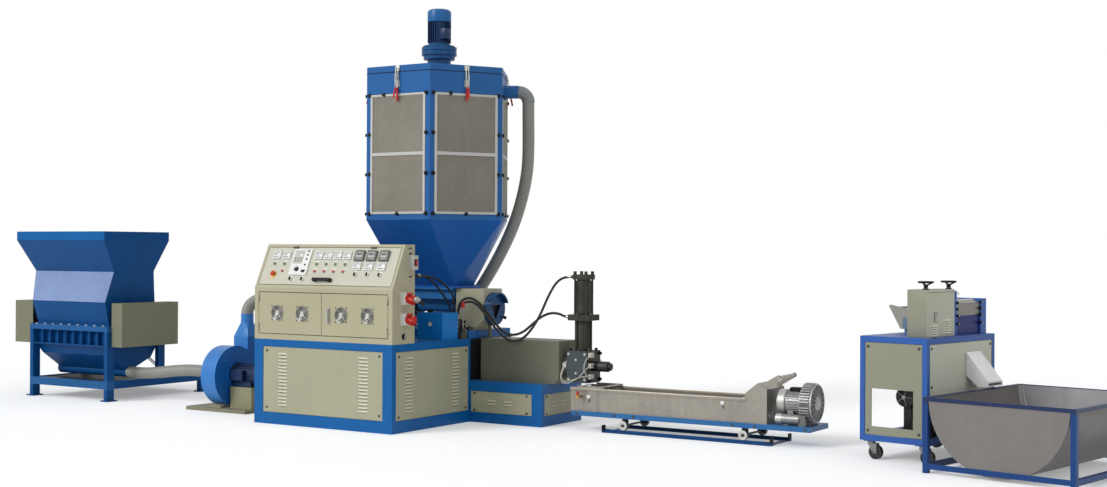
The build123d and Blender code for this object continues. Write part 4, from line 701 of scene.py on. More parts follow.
def bake(tree: bpy.types.NodeTree, source: bpy.types.ID, values: dict[str, object]) -> bpy.types.Mesh:
    """Runs a geometry tree on a mesh or curve and keeps its result as a plain mesh.

    Args:
        tree: The geometry tree.
        source: The mesh or curve that goes in.
        values: The tree's inputs by name.

    Returns:
        The new mesh.
    """
    carrier = put("carrier", source)
    modifier = carrier.modifiers.new("tree", "NODES")
    modifier.node_group = tree
    for item in tree.interface.items_tree:
        if item.in_out == "INPUT" and item.name in values:
            modifier[item.identifier] = values[item.name]
    depsgraph = bpy.context.evaluated_depsgraph_get()
    mesh = bpy.data.meshes.new_from_object(carrier.evaluated_get(depsgraph), depsgraph=depsgraph)
    carrier.modifiers.remove(modifier)
    bpy.data.objects.remove(carrier)
    return mesh


@node_group("Geometry", {"Geometry": GEOMETRY}, {
    "Spots": (GEOMETRY, None), "Sides": (INTEGER, 6), "Radius": (FLOAT, 0.01), "Height": (FLOAT, 0.007),
    "Washer": (FLOAT, 0.014), "Seed": (INTEGER, 3), "Material": (MATERIAL, None)})
def bolt_heads(w: Wiring, given: dict[str, Socket]) -> tuple[Socket]:
    """Sets a headed bolt with a washer on every point."""
    head = w.geo("MeshCone", {"Vertices": given["Sides"], "Radius Top": given["Radius"],
                              "Radius Bottom": given["Radius"], "Depth": given["Height"]})
    washer = w.geo("MeshCylinder", {"Vertices": 12, "Radius": given["Washer"], "Depth": 0.0016})
    spin = w.add("FunctionNodeRandomValue", {3: pi, "Seed": given["Seed"]}, data_type="FLOAT").outputs[1]
    stood = w.geo("InstanceOnPoints", {"Points": given["Spots"], "Instance": w.joined(washer, head),
                                       "Rotation": w.turn()})
    spun = w.geo("RotateInstances", {"Instances": stood, "Rotation": w.rotation(w.point(z=spin)), "Local Space": True})
    return (w.paint(w.geo("RealizeInstances", {0: spun}), given["Material"]),)


@node_group("Geometry", {"Geometry": GEOMETRY}, {
    "Spots": (GEOMETRY, None), "Width": (FLOAT, 0.1), "Height": (FLOAT, 0.016), "Depth": (FLOAT, 0.007),
    "Material": (MATERIAL, None), "Painted Shade Material": (MATERIAL, None)})
def pressed_louvres(w: Wiring, given: dict[str, Socket]) -> tuple[Socket]:
    """Sets a pressed louvre on every point, sloping above, with painted shade below: its underside and a thin strip
    under it take the dark shade material.
    """
    width, height, depth, painted_shade = (given[name] for name in ("Width", "Height", "Depth", "Painted Shade Material"))
    blade = w.geo(
        "MeshCube", {"Size": w.point(width, height, depth), "Vertices X": 5, "Vertices Y": 3, "Vertices Z": 2})
    x, y, z = w.parts(w.geo("InputPosition"))
    slope = w.math("SUBTRACT", 0.5, w.math("DIVIDE", y, height), clamp=True)
    ends = w.span(w.math("ABSOLUTE", w.math("DIVIDE", x, width)), 0.3, 0.5, 1.0, 0.25)
    top = w.math("MULTIPLY", w.math("MULTIPLY", slope, ends), depth)
    lift = w.math("MULTIPLY", w.math("GREATER_THAN", z, 0.0), top)
    painted = w.paint(w.geo("SetPosition", {"Geometry": blade, "Position": w.point(x, y, lift)}), given["Material"])
    # Painted shade: the blade's underside and a thin dark strip below the blade stand in for the shadow in the opening.
    shaded_underside = w.math("LESS_THAN", w.parts(w.geo("InputNormal"))[1], -0.8)
    shade_strip_size = w.point(w.math("MULTIPLY", width, 0.94), w.math("MULTIPLY", height, 0.34), 0.0012)
    shade_strip = w.geo("Transform", {"Geometry": w.geo("MeshCube", {"Size": shade_strip_size}),
                                  "Translation": w.point(y=w.math("MULTIPLY", height, -0.62))})
    both = w.joined(w.paint(shade_strip, painted_shade), w.paint(painted, painted_shade, Selection=shaded_underside))
    return (w.stood(given["Spots"], both),)


@node_group("Geometry", {"Geometry": GEOMETRY}, {
    "Line": (GEOMETRY, None), "Radius": (FLOAT, 0.059), "Rib Height": (FLOAT, 0.002), "Rib Pitch": (FLOAT, 0.02),
    "Material": (MATERIAL, None)})
def ribbed_hose(w: Wiring, given: dict[str, Socket]) -> tuple[Socket]:
    """Sweeps a ribbed hose along a line and keeps its crests as an attribute, which its material uses to paint shade
    into the troughs.
    """
    step = w.math("DIVIDE", given["Rib Pitch"], 6.0)
    cut = w.geo("ResampleCurve", {"Curve": given["Line"], "Length": step}, mode="LENGTH")
    along = w.add("GeometryNodeSplineParameter").outputs["Length"]
    wave = w.math("SINE", w.math("MULTIPLY", along, w.math("DIVIDE", 2 * pi, given["Rib Pitch"])))
    kept = w.geo("StoreNamedAttribute", {"Geometry": cut, "Name": "crest", "Value": wave}, data_type="FLOAT")
    radius = w.math("MULTIPLY_ADD", wave, given["Rib Height"], given["Radius"])
    sized = w.geo("SetCurveRadius", {"Curve": kept, "Radius": radius})
    ring = w.geo("CurvePrimitiveCircle", {"Resolution": 24, "Radius": 1.0})
    swept = w.add("GeometryNodeCurveToMesh", {"Curve": sized, "Profile Curve": ring, "Fill Caps": True})
    if "Scale" in swept.inputs:
        w.tree.links.new(w.geo("InputRadius"), swept.inputs["Scale"])
    return (w.paint(swept.outputs[0], given["Material"]),)


@node_group("Geometry", {"Geometry": GEOMETRY}, {
    "Spots": (GEOMETRY, None), "Radius": (FLOAT, 0.07), "Rings": (INTEGER, 7), "Wire": (FLOAT, 0.0014),
    "Material": (MATERIAL, None)})
def fan_guard(w: Wiring, given: dict[str, Socket]) -> tuple[Socket]:
    """Sets a round guard of wire rings and spokes on every point."""
    rise = 0.003
    step = w.point(z=w.math("DIVIDE", given["Radius"], given["Rings"]))
    levels = w.geo("MeshLine", {"Count": given["Rings"], "Offset": step, "Start Location": step})
    rings = w.geo("InstanceOnPoints", {
        "Points": levels, "Instance": w.geo("CurvePrimitiveCircle", {"Resolution": 28, "Radius": 1.0}),
        "Scale": w.parts(w.geo("InputPosition"))[2]})
    x, y, _ = w.parts(w.geo("InputPosition"))
    flat = w.geo("SetPosition", {"Geometry": w.geo("RealizeInstances", {0: rings}), "Position": w.point(x, y, rise)})
    spoke = w.geo("CurvePrimitiveLine", {"Start": (0, 0, rise), "End": w.point(given["Radius"], 0.0, rise)})
    swing = w.math("ADD", w.math("MULTIPLY", w.geo("InputIndex"), pi / 2), pi / 4)
    arms = w.geo("InstanceOnPoints", {"Points": w.geo("MeshCircle", {"Vertices": 4, "Radius": 0.0001}),
                                      "Instance": spoke, "Rotation": w.rotation(w.point(z=swing))})
    section = w.geo("CurvePrimitiveCircle", {"Resolution": 5, "Radius": given["Wire"]})
    lines = w.joined(flat, w.geo("RealizeInstances", {0: arms}))
    wires = w.geo("CurveToMesh", {"Curve": lines, "Profile Curve": section, "Fill Caps": True})
    return (w.paint(w.stood(given["Spots"], wires), given["Material"]),)


def bolts(name: str, spots: Iterable[Spot], body: str, finish: Finish, radius: float = 0.009,
          height: float = 0.006, washer: float = 0.013, sides: int = 6, place: Matrix | None = None) -> None:
    """Sets bolt heads on spots.

    Args:
        name: The piece's name.
        spots: Where they sit.
        body: The body that they move with.
        finish: Their surface.
        radius: Radius of the head over its corners.
        height: Height of the head.
        washer: Radius of the washer.
        sides: Sides of the head.
        place: The frame that the spots are given in.
    """
    values = {"Sides": sides, "Radius": radius, "Height": height, "Washer": washer, "Seed": 3}
    keep(bake(bolt_heads(), spot_mesh(spots, place), {**values, "Material": finish.material()}), name, body)


def louvres(name: str, spots: Iterable[Spot], width: float, height: float, depth: float, finish: Finish = LIT_LOUVRE,
            place: Matrix | None = None) -> None:
    """Sets pressed louvres on spots.

    Args:
        name: The piece's name.
        spots: Where they sit.
        width: Their length.
        height: Their height.
        depth: How far they stand out.
        finish: The sheet's surface; by default paler than the panels, a painted highlight on the lips.
        place: The frame that the spots are given in.
    """
    # Black is the painted shade under each louvre.
    mesh = bake(pressed_louvres(), spot_mesh(spots, place), {
        "Width": width, "Height": height, "Depth": depth, "Material": finish.material(),
        "Painted Shade Material": BLACK.material()})
    keep(mesh, name, "line")


def duct(name: str, line: bpy.types.Curve, radius: float) -> bpy.types.Object:
    """Builds a ribbed hose or sleeve round a line."""
    values = {"Radius": radius, "Rib Height": RIB_HEIGHT, "Rib Pitch": RIB_PITCH, "Material": HOSE.material()}
    return keep(bake(ribbed_hose(), line, values), name, "line", HOSE_SHARP)


@dataclass
class Stage:
    """The floor, the daylight and the camera."""

    eye: Point = (8.581, -10.758, 1.6)
    yaw: float = 0.559
    pitch: float = 0.004
    roll: float = 0.005
    lens: float = 47.15
    floor_radius: float = 60.0

    def camera(self) -> None:
        """Sets the camera at the photograph's place."""
        ahead = Vector((-sin(self.yaw) * cos(self.pitch), cos(self.yaw) * cos(self.pitch), sin(self.pitch)))
        right = Vector((cos(self.yaw), sin(self.yaw), 0))
        up = right.cross(ahead)
        across = right * cos(self.roll) + up * sin(self.roll)
        above = up * cos(self.roll) - right * sin(self.roll)
        data = bpy.data.cameras.new("view")
        data.sensor_width, data.lens, data.clip_end = 36.0, self.lens, 200.0
        camera = put("view", data)
        camera.matrix_world = Matrix.Translation(self.eye) @ Matrix((across, above, -ahead)).transposed().to_4x4()
        bpy.context.scene.camera = camera

    def floor(self) -> None:
        """Lays the pale floor, which keeps the object's shadow."""
        mesh = bpy.data.meshes.new("floor")
        ring = [(x, y, -0.001) for x, y in circle(self.floor_radius, 48)]
        mesh.from_pydata(ring, [], [list(range(len(ring)))])
        material = bpy.data.materials.new("floor")
        material.use_nodes = True
        w = Wiring(material.node_tree)
        w.tree.nodes.clear()
        rays = w.add("ShaderNodeLightPath")
        seen = w.math("MAXIMUM", rays.outputs["Is Camera Ray"], rays.outputs["Is Glossy Ray"])
        shader = w.out("ShaderNodeBsdfPrincipled", {
            "Base Color": (0.9, 0.9, 0.9, 1), "Roughness": 0.9, "Specular IOR Level": 0.0,
            "Emission Color": (1, 1, 1, 1), "Emission Strength": w.math("MULTIPLY", seen, 0.28)})
        w.add("ShaderNodeOutputMaterial", {"Surface": shader})
        mesh.materials.append(material)
        put("floor", mesh)

    def light(self) -> None:
        """Lights the object from the front left, with an even sky."""
        world = bpy.data.worlds.new("sky")
        bpy.context.scene.world = world
        world.use_nodes = True
        w = Wiring(world.node_tree)
        w.tree.nodes.clear()
        rays = w.add("ShaderNodeLightPath")
        seen = w.math("MAXIMUM", w.math("MAXIMUM", rays.outputs["Is Camera Ray"], rays.outputs["Is Glossy Ray"]),
                      rays.outputs["Is Transmission Ray"])
        height = w.parts(w.add("ShaderNodeTexCoord").outputs["Generated"])[2]
        softbox = w.span(height, 0.02, 0.5, 0.45, 1.0)
        bright = w.math("MAXIMUM", softbox, w.math("SUBTRACT", 1.0, rays.outputs["Is Glossy Ray"]))
        lit = w.out("ShaderNodeBackground", {"Color": (0.96, 0.98, 1.0, 1), "Strength": 0.5})
        shown = w.out("ShaderNodeBackground", {"Color": (1, 1, 1, 1), "Strength": bright})
        w.add("ShaderNodeOutputWorld", {"Surface": w.out("ShaderNodeMixShader", {0: seen, 1: lit, 2: shown})})
        for name, aim, strength, width in (
                ("key", (0.42, 0.75, -0.5), 1.65, 25.0), ("fill", (-0.8, 0.3, -0.5), 0.35, 60.0)):
            data = bpy.data.lights.new(name, "SUN")
            data.energy, data.angle = strength, radians(width)
            put(name, data).matrix_world = square_to(-Vector(aim))


@dataclass(frozen=True)
class Route:
    """A hose or cable: the points that its line is drawn to, its thickness and what it is."""

    name: str
    radius: float
    length: float
    points: tuple[Point, ...]
    stiffness: str = "medium"
    lay: str = "hanging"

    def line(self, bevel: float = 0.0) -> bpy.types.Curve:
        """Makes the smooth line, as thick as bevel says."""
        curve = bpy.data.curves.new(self.name, "CURVE")
        curve.dimensions, curve.resolution_u = "3D", 10
        curve.bevel_depth, curve.bevel_resolution, curve.use_fill_caps = bevel, 4, bevel > 0
        spline = curve.splines.new("NURBS")
        spline.points.add(len(self.points) - 1)
        for control, point in zip(spline.points, self.points):
            control.co = (*point, 1.0)
        spline.order_u = 3
        spline.use_endpoint_u = True
        return curve

    def path(self) -> list[Vector]:
        """Reads the points that the bare line runs through."""
        carrier = bpy.data.objects.new("line", self.line())
        mesh = bpy.data.meshes.new_from_object(carrier)
        points = [v.co.copy() for v in mesh.vertices]
        bpy.data.objects.remove(carrier)
        bpy.data.meshes.remove(mesh)
        return points


@dataclass
class Hoses:
    """The two ribbed duct hoses, the two pressure hoses and the two cables."""

    ducts: tuple[Route, ...] = (
        Route("suction_hose", 0.059, 1.445, (
            (-3.313, -0.16, 0.284), (-3.18, -0.16, 0.284), (-3.01, -0.176, 0.288), (-2.78, -0.216, 0.312),
            (-2.52, -0.256, 0.344), (-2.27, -0.284, 0.364), (-2.06, -0.29, 0.36), (-1.88, -0.29, 0.36)), "stiff"),
        Route("conveying_hose", 0.059, 4.382, (
            (1.0096, 0.8799, 3.0083), (1.0096, 0.8799, 2.84), (1.006, 0.892, 2.64), (0.985, 0.915, 2.37),
            (0.912, 0.94, 2.11), (0.805, 0.955, 1.84), (0.682, 0.944, 1.6), (0.555, 0.918, 1.375), (0.405, 0.896, 1.16),
            (0.215, 0.88, 1.0), (-0.03, 0.868, 0.915), (-0.28, 0.866, 0.903), (-0.53, 0.84, 0.908),
            (-0.76, 0.76, 0.922),
            (-0.965, 0.61, 0.955), (-1.17, 0.435, 1.005), (-1.36, 0.285, 1.05), (-1.5152, 0.1518, 1.079),
            (-1.6378, 0.049, 1.079)), "stiff"),
    )
    lines: tuple[Route, ...] = (
        Route("pressure_hose_upper", 0.0115, 1.677, (
            (0.712, 0.15, 0.948), (0.712, 0.15, 1.038), (0.754, 0.192, 1.108), (0.85, 0.216, 1.116),
            (0.957, 0.234, 1.018),
            (1.056, 0.262, 0.875), (1.14, 0.284, 0.79), (1.232, 0.3, 0.752), (1.325, 0.325, 0.782), (1.4, 0.354, 0.868),
            (1.472, 0.386, 1.0), (1.535, 0.412, 1.165), (1.598, 0.448, 1.296), (1.662, 0.49, 1.351),
            (1.75, 0.49, 1.351))),
        Route("pressure_hose_lower", 0.0115, 1.439, (
            (0.692, 0.184, 0.948), (0.692, 0.184, 1.05), (0.728, 0.208, 1.136), (0.82, 0.238, 1.15),
            (0.925, 0.27, 1.062),
            (1.024, 0.298, 0.925), (1.11, 0.316, 0.836), (1.212, 0.332, 0.806), (1.306, 0.36, 0.84),
            (1.378, 0.396, 0.912),
            (1.45, 0.432, 0.982), (1.535, 0.458, 1.02), (1.622, 0.478, 1.014), (1.671, 0.49, 0.986),
            (1.733, 0.49, 0.986))),
        Route("cabinet_cable_front", 0.0095, 0.975, (
            (0.556, -0.612, 1.322), (0.556, -0.535, 1.322), (0.566, -0.44, 1.346), (0.59, -0.32, 1.364),
            (0.606, -0.205, 1.35), (0.62, -0.09, 1.29), (0.632, 0.01, 1.2), (0.645, 0.092, 1.11), (0.652, 0.14, 1.03),
            (0.652, 0.14, 0.948))),
        Route("cabinet_cable_back", 0.0095, 1.052, (
            (0.59, -0.612, 1.308), (0.59, -0.535, 1.308), (0.6, -0.43, 1.33), (0.612, -0.31, 1.348),
            (0.622, -0.19, 1.35),
            (0.632, -0.07, 1.328), (0.642, 0.05, 1.272), (0.654, 0.146, 1.19), (0.652, 0.18, 1.1),
            (0.652, 0.18, 0.948))),
    )

    def build(self) -> None:
        """Builds every hose and cable, hides the CAD parts that they replace and logs their lengths."""
        for route in self.ducts:
            piece = duct(f"{route.name}_ribbed", route.line(), route.radius - RIB_HEIGHT)
            self._declare(piece, route, route.path())
        for route in self.lines:
            curve = route.line(route.radius)
            curve.materials.append(RUBBER.material())
            piece = put(f"{route.name}_rubber", curve)
            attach(piece, "line")
            self._declare(piece, route, None)

    def _declare(self, piece: bpy.types.Object, route: Route, path: list[Vector] | None) -> None:
        """Hides the CAD part that a cord replaces and logs the cord's name and length."""
        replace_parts(piece, route.name)
        log.info("laid %s, %.2f m", route.name, route.length)


@dataclass
class ExtruderBase:
    """The blue welded base and its louvred panels."""

    rows: int = 16
    low: float = 0.178
    high: float = 0.642
    louvre_width: float = 0.1

    def dress(self) -> None:
        """Paints the base and its panels."""
        # Painted shade: the recess in the base's right side is painted near black.
        recess_shade = Zone((0.78, 0.235, 0.384), (0.81, 0.9, 0.768), (0.006, 0.006, 0.008), 0.6)
        dress(BLUE, "machine_base", name="base_blue", dust=0.15, marks=0.12, zones=(recess_shade,))
        dress(PANEL, "base_panels")

    def build(self) -> None:
        """Adds the louvres and the panel screws."""
        pitch = (self.high - self.low) / (self.rows - 1)
        heights = [self.low + pitch * k for k in range(self.rows)]
        front = grid((-0.46, 0.478), (-0.921,), heights, FRONT)
        back = grid((-0.46, 0.46), (0.921,), heights, BACK)
        right = grid((0.796,), (-0.676, 0.014), heights, RIGHT)
        left = grid((-0.796,), (-0.676, 0.66), heights, LEFT)
        louvres("base_louvres", front + back + right + left, self.louvre_width, 0.016, 0.011)
        slits = grid((1.043, 1.226), (0.229,), (0.176, 0.206), FRONT)
        slits += grid((1.586,), (0.442, 0.594), (0.176, 0.206), RIGHT)
        louvres("step_louvres", slits, 0.092, 0.013, 0.009)
        screws = [Spot((x, y, z), (0, y, 0)) for x in (-0.65, 0.657) for y in (-0.921, 0.921) for z in (0.15, 0.665)]
        screws += grid((0.796,), (-0.826, 0.17), (0.136, 0.66), RIGHT)
        screws += grid((-0.796,), (-0.826, 0.826), (0.136, 0.66), LEFT)
        screws += grid((0.855, 1.43), (0.229,), (0.112, 0.268), FRONT)
        screws += grid((1.586,), (0.323, 0.83), (0.112, 0.268), RIGHT)
        bolts("base_screws", screws, "line", SCREW, 0.008, 0.006, 0.012)


@dataclass
class ControlDesk:
    """The cream cabinet: doors with fan guards, the sloping desk and its instruments, sockets and switches."""

    meters: tuple[float, ...] = (-0.643, -0.525, -0.139, -0.029, 0.08, 0.19)
    meter_row: float = 0.322
    lower_meters: tuple[float, ...] = (0.334, 0.471, 0.61)
    lower_row: float = 0.218
    green_row: float = 0.235
    red_row: float = 0.165
    fans: tuple[float, ...] = (-0.5245, -0.2265, 0.2265, 0.5245)
    fan_height: float = 1.01
    blade_lean: float = 0.55

    def dress(self) -> None:
        """Paints the cabinet, its doors and its lid."""
        white, red = (0.7, 0.7, 0.66), (0.5, 0.012, 0.008)
        side = (
            Zone((0.7995, -0.71, 1.41), (0.87, -0.63, 1.545), (0.5, 0.49, 0.44), 0.4),
            Zone((0.7995, -0.81, 1.11), (0.831, -0.7, 1.22), white, 0.4),
            Zone((0.7995, -0.81, 0.93), (0.831, -0.7, 1.04), white, 0.4),
            Zone((0.831, -0.81, 0.93), (0.95, -0.7, 1.22), red, 0.3),
        )
        dress(CREAM, "cabinet_shell", name="cabinet_paint", zones=side)
        handle = Zone((0.06, -0.96, 0.92), (0.104, -0.9252, 1.082), (0.5, 0.5, 0.47), 0.3, 0.7)
        dress(CREAM, "cabinet_door_left", "cabinet_door_right", name="door_paint", zones=(handle,))
        hinges = tuple(Zone(
            (x - 0.032, 0.3905, -0.03), (x + 0.032, 0.44, 0.03), (0.08, 0.075, 0.06), 0.4, 0.5, place=Place.DESK)
                       for x in (-0.444, 0.46))
        dress(CREAM, "console_lid", name="desk_paint", colour=(0.56, 0.55, 0.45), zones=hinges)

    def build(self) -> None:
        """Builds the instruments, guards and side fittings."""
        self._instruments()
        for side, name in ((-1, "left"), (1, "right")):
            self._guards(f"door_{name}", [x for x in self.fans if x * side > 0])
        self._side_fittings()

    def _instruments(self) -> None:
        """Builds the meters, controllers, buttons, knobs and handle on the lid."""
        m = Maker("desk_instruments", DESK)
        top = [(x, self.meter_row) for x in self.meters]
        low = [(x, self.lower_row) for x in self.lower_meters]
        for x, t in top + low:
            m.plate(x, t, (0.044, 0.038), (0, 0.014), WHITE, 0.003)
            m.block((x - 0.036, t - 0.006, 0.0135), (x + 0.036, t + 0.031, 0.0155), GLASSY, 0.001)
            for k in (-1, 0, 1):
                m.block(
                    (x + 0.022 * k - 0.007, t - 0.028, 0.0135), (x + 0.022 * k + 0.007, t - 0.018, 0.016), GREY, 0.001)
        for x in self.lower_meters:
            t = self.meter_row - 0.002
            m.plate(x, t, (0.052, 0.05), (0, 0.02), GREY, 0.003)
            m.plate(x, t, (0.034, 0.032), (0.0195, 0.0215), PALE, 0.001)
            m.block((x - 0.028, t - 0.002, 0.021), (x + 0.028, t + 0.025, 0.0225), GREY, 0.001)
            for k in (-1.5, -0.5, 0.5, 1.5):
                m.block(
                    (x + 0.017 * k - 0.006, t - 0.028, 0.021), (x + 0.017 * k + 0.006, t - 0.017, 0.023), GREY, 0.001)
        m.block((-0.44, 0.125, 0), (-0.228, 0.382, 0.014), WHITE, 0.004)
        m.block((-0.42, 0.235, 0.0135), (-0.31, 0.365, 0.0155), PALE, 0.002)
        m.block((-0.4, 0.31, 0.015), (-0.33, 0.345, 0.017), GLASSY, 0.001)
        m.block((-0.29, 0.15, 0.0135), (-0.25, 0.175, 0.019), BLACK, 0.002)
        for x, t in ((-0.4, 0.26), (-0.365, 0.26), (-0.33, 0.26), (-0.4, 0.285), (-0.365, 0.285), (-0.33, 0.285)):
            m.plate(x, t, (0.01, 0.006), (0.015, 0.0175), GREY, 0.001)
        for t in (0.36, 0.32, 0.28, 0.225):
            m.lathe(((0.009, 0), (0.009, 0.004), (0, 0.005)), (-0.268, t, 0.0135), UP, BLACK, 12)
        m.lathe(((0.022, 0), (0.02, 0.014), (0.012, 0.016), (0, 0.016)), (-0.35, 0.18, 0.0135), UP, BLACK, 20)
        m.block((-0.353, 0.184, 0.028), (-0.347, 0.2, 0.0305), WHITE, 0.0)
        for row, finish in ((self.green_row, GREEN), (self.red_row, RED)):
            for x in self.meters:
                if row == self.red_row and x == self.meters[0]:
                    continue
                m.lathe(((0.0165, 0), (0.0165, 0.004), (0.013, 0.006), (0.013, 0)), (x, row, 0), UP, ZINC, 18)
                m.lathe(((0.011, 0), (0.011, 0.012), (0.009, 0.014), (0, 0.0145)), (x, row, 0), UP, finish, 18)
                m.block((x - 0.02, row + 0.021, 0), (x + 0.02, row + 0.031, 0.0012), WHITE, 0.0)
        for x, t in ((0.336, 0.14), (0.474, 0.14), (0.612, 0.138), (-0.401, 0.088), (-0.26, 0.087)):
            m.lathe(
                ((0.0175, 0), (0.0175, 0.004), (0.0145, 0.006), (0.0145, 0.012), (0, 0.013)), (x, t, 0), UP, ZINC, 18)
            m.plate(x, t, (0.005, 0.016), (0.012, 0.024), BLACK, 0.002)
            m.block((x - 0.02, t + 0.022, 0), (x + 0.02, t + 0.032, 0.0012), WHITE, 0.0)
        m.lathe(((0.03, 0), (0.03, 0.003), (0, 0.004)), (-0.62, 0.135, 0), UP, YELLOW, 24)
        m.lathe(
            ((0.013, 0), (0.013, 0.014), (0.023, 0.017), (0.023, 0.024), (0.014, 0.03), (0, 0.031)), (-0.62, 0.135, 0),
            UP, RED, 24)
        m.block((-0.655, 0.088, 0), (-0.61, 0.1, 0.0015), YELLOW, 0.0)
        for x in (-0.1, 0.07):
            m.block((x - 0.02, 0.062, 0), (x + 0.02, 0.096, 0.03), BLACK, 0.006)
        m.block((-0.12, 0.064, 0.02), (0.09, 0.094, 0.036), BLACK, 0.007)
        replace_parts(m.save("lid", "instrument"), "console_instruments")

    def _guards(self, body: str, places: list[float]) -> None:
        """Builds the fan guards of one door."""
        m = Maker(f"{body}_fans")
        for x in places:
            centre = (x, -0.925, self.fan_height)
            m.lathe(((0.052, -0.003), (0.067, 0.0), (0.067, 0.0012), (0, 0.0012)), centre, FRONT, BLACK, 28)
            m.lathe(
                ((0.067, 0.0), (0.067, 0.005), (0.069, 0.0065), (0.071, 0.0065), (0.073, 0.003), (0.073, 0.0)), centre,
                FRONT, DULL_STEEL, 32, True)
            m.lathe(((0.024, 0.0015), (0.024, 0.004), (0.02, 0.0055), (0, 0.006)), centre, FRONT, ZINC, 20)
            for k in range(7):
                a = 2 * pi * k / 7
                lean = a + self.blade_lean
                inner = (x + 0.024 * cos(a), -0.9265, self.fan_height + 0.024 * sin(a))
                outer = (x + 0.062 * cos(lean), -0.9265, self.fan_height + 0.062 * sin(lean))
                m.wire((inner, outer), 0.0045, GREY, 4)
            for u in (x - 0.062, x + 0.062):
                for z in (self.fan_height - 0.062, self.fan_height + 0.062):
                    m.rod((u, -0.925, z), (u, -0.929, z), 0.006, SCREW, 10)
        m.save(body, "panel_cream")
        mesh = bake(fan_guard(), spot_mesh(grid(places, (-0.927,), (self.fan_height,), FRONT)),
                    {"Radius": 0.0665, "Rings": 6, "Wire": 0.0016, "Material": ZINC.material()})
        keep(mesh, f"{body}_guard_wires", body)

    def _side_fittings(self) -> None:
        """Builds the hinge slots, rocker switch, plug collars and door hinges on the cabinet."""
        m = Maker("cabinet_fittings")
        for y, z in ((-0.679, 1.603), (-0.679, 1.555), (-0.677, 1.354)):
            m.block((0.7995, y - 0.022, z - 0.006), (0.802, y + 0.022, z + 0.006), BLACK, 0.001)
        m.block((0.855, -0.692, 1.448), (0.859, -0.646, 1.506), BLACK, 0.002)
        m.block((0.858, -0.68, 1.458), (0.865, -0.658, 1.496), RED, 0.003)
        for z in (1.165, 0.985):
            m.lathe(
                ((0.037, 0.0), (0.042, 0.004), (0.042, 0.012), (0.037, 0.016)), (0.842, -0.757, z), RIGHT, RED, 24,
                True)
            m.lathe(((0.03, 0.0), (0.033, 0.004), (0.026, 0.012), (0, 0.013)), (0.904, -0.757, z), RIGHT, RED, 24)
            m.block((0.838, -0.775, z + 0.034), (0.886, -0.739, z + 0.052), RED, 0.005)
            m.block((0.829, -0.8, z - 0.046), (0.836, -0.714, z + 0.046), WHITE, 0.003)
        m.lathe(
            ((0.024, 0.0), (0.03, 0.006), (0.03, 0.03), (0.024, 0.036), (0.016, 0.06), (0, 0.06)),
            (0.912, -0.755, 1.163), (1, 0.15, -0.35), DULL_STEEL, 20)
        m.lathe(
            ((0.017, 0.0), (0.02, 0.01), (0.014, 0.045), (0, 0.045)), (0.965, -0.748, 1.144), (0.8, 0.15, -0.8), BLACK,
            16)
        m.lathe(((0.026, 0), (0.026, 0.006), (0.02, 0.016), (0, 0.017)), (0.8, -0.768, 0.834), RIGHT, BLACK, 24)
        m.block((0.8165, -0.772, 0.82), (0.8185, -0.764, 0.85), WHITE, 0.0)
        for x in (-0.746, 0.746):
            for z in (0.88, 1.14):
                m.rod((x, -0.9262, z - 0.03), (x, -0.9262, z + 0.03), 0.0045, SCREW, 10)
        m.save("line", "instrument")


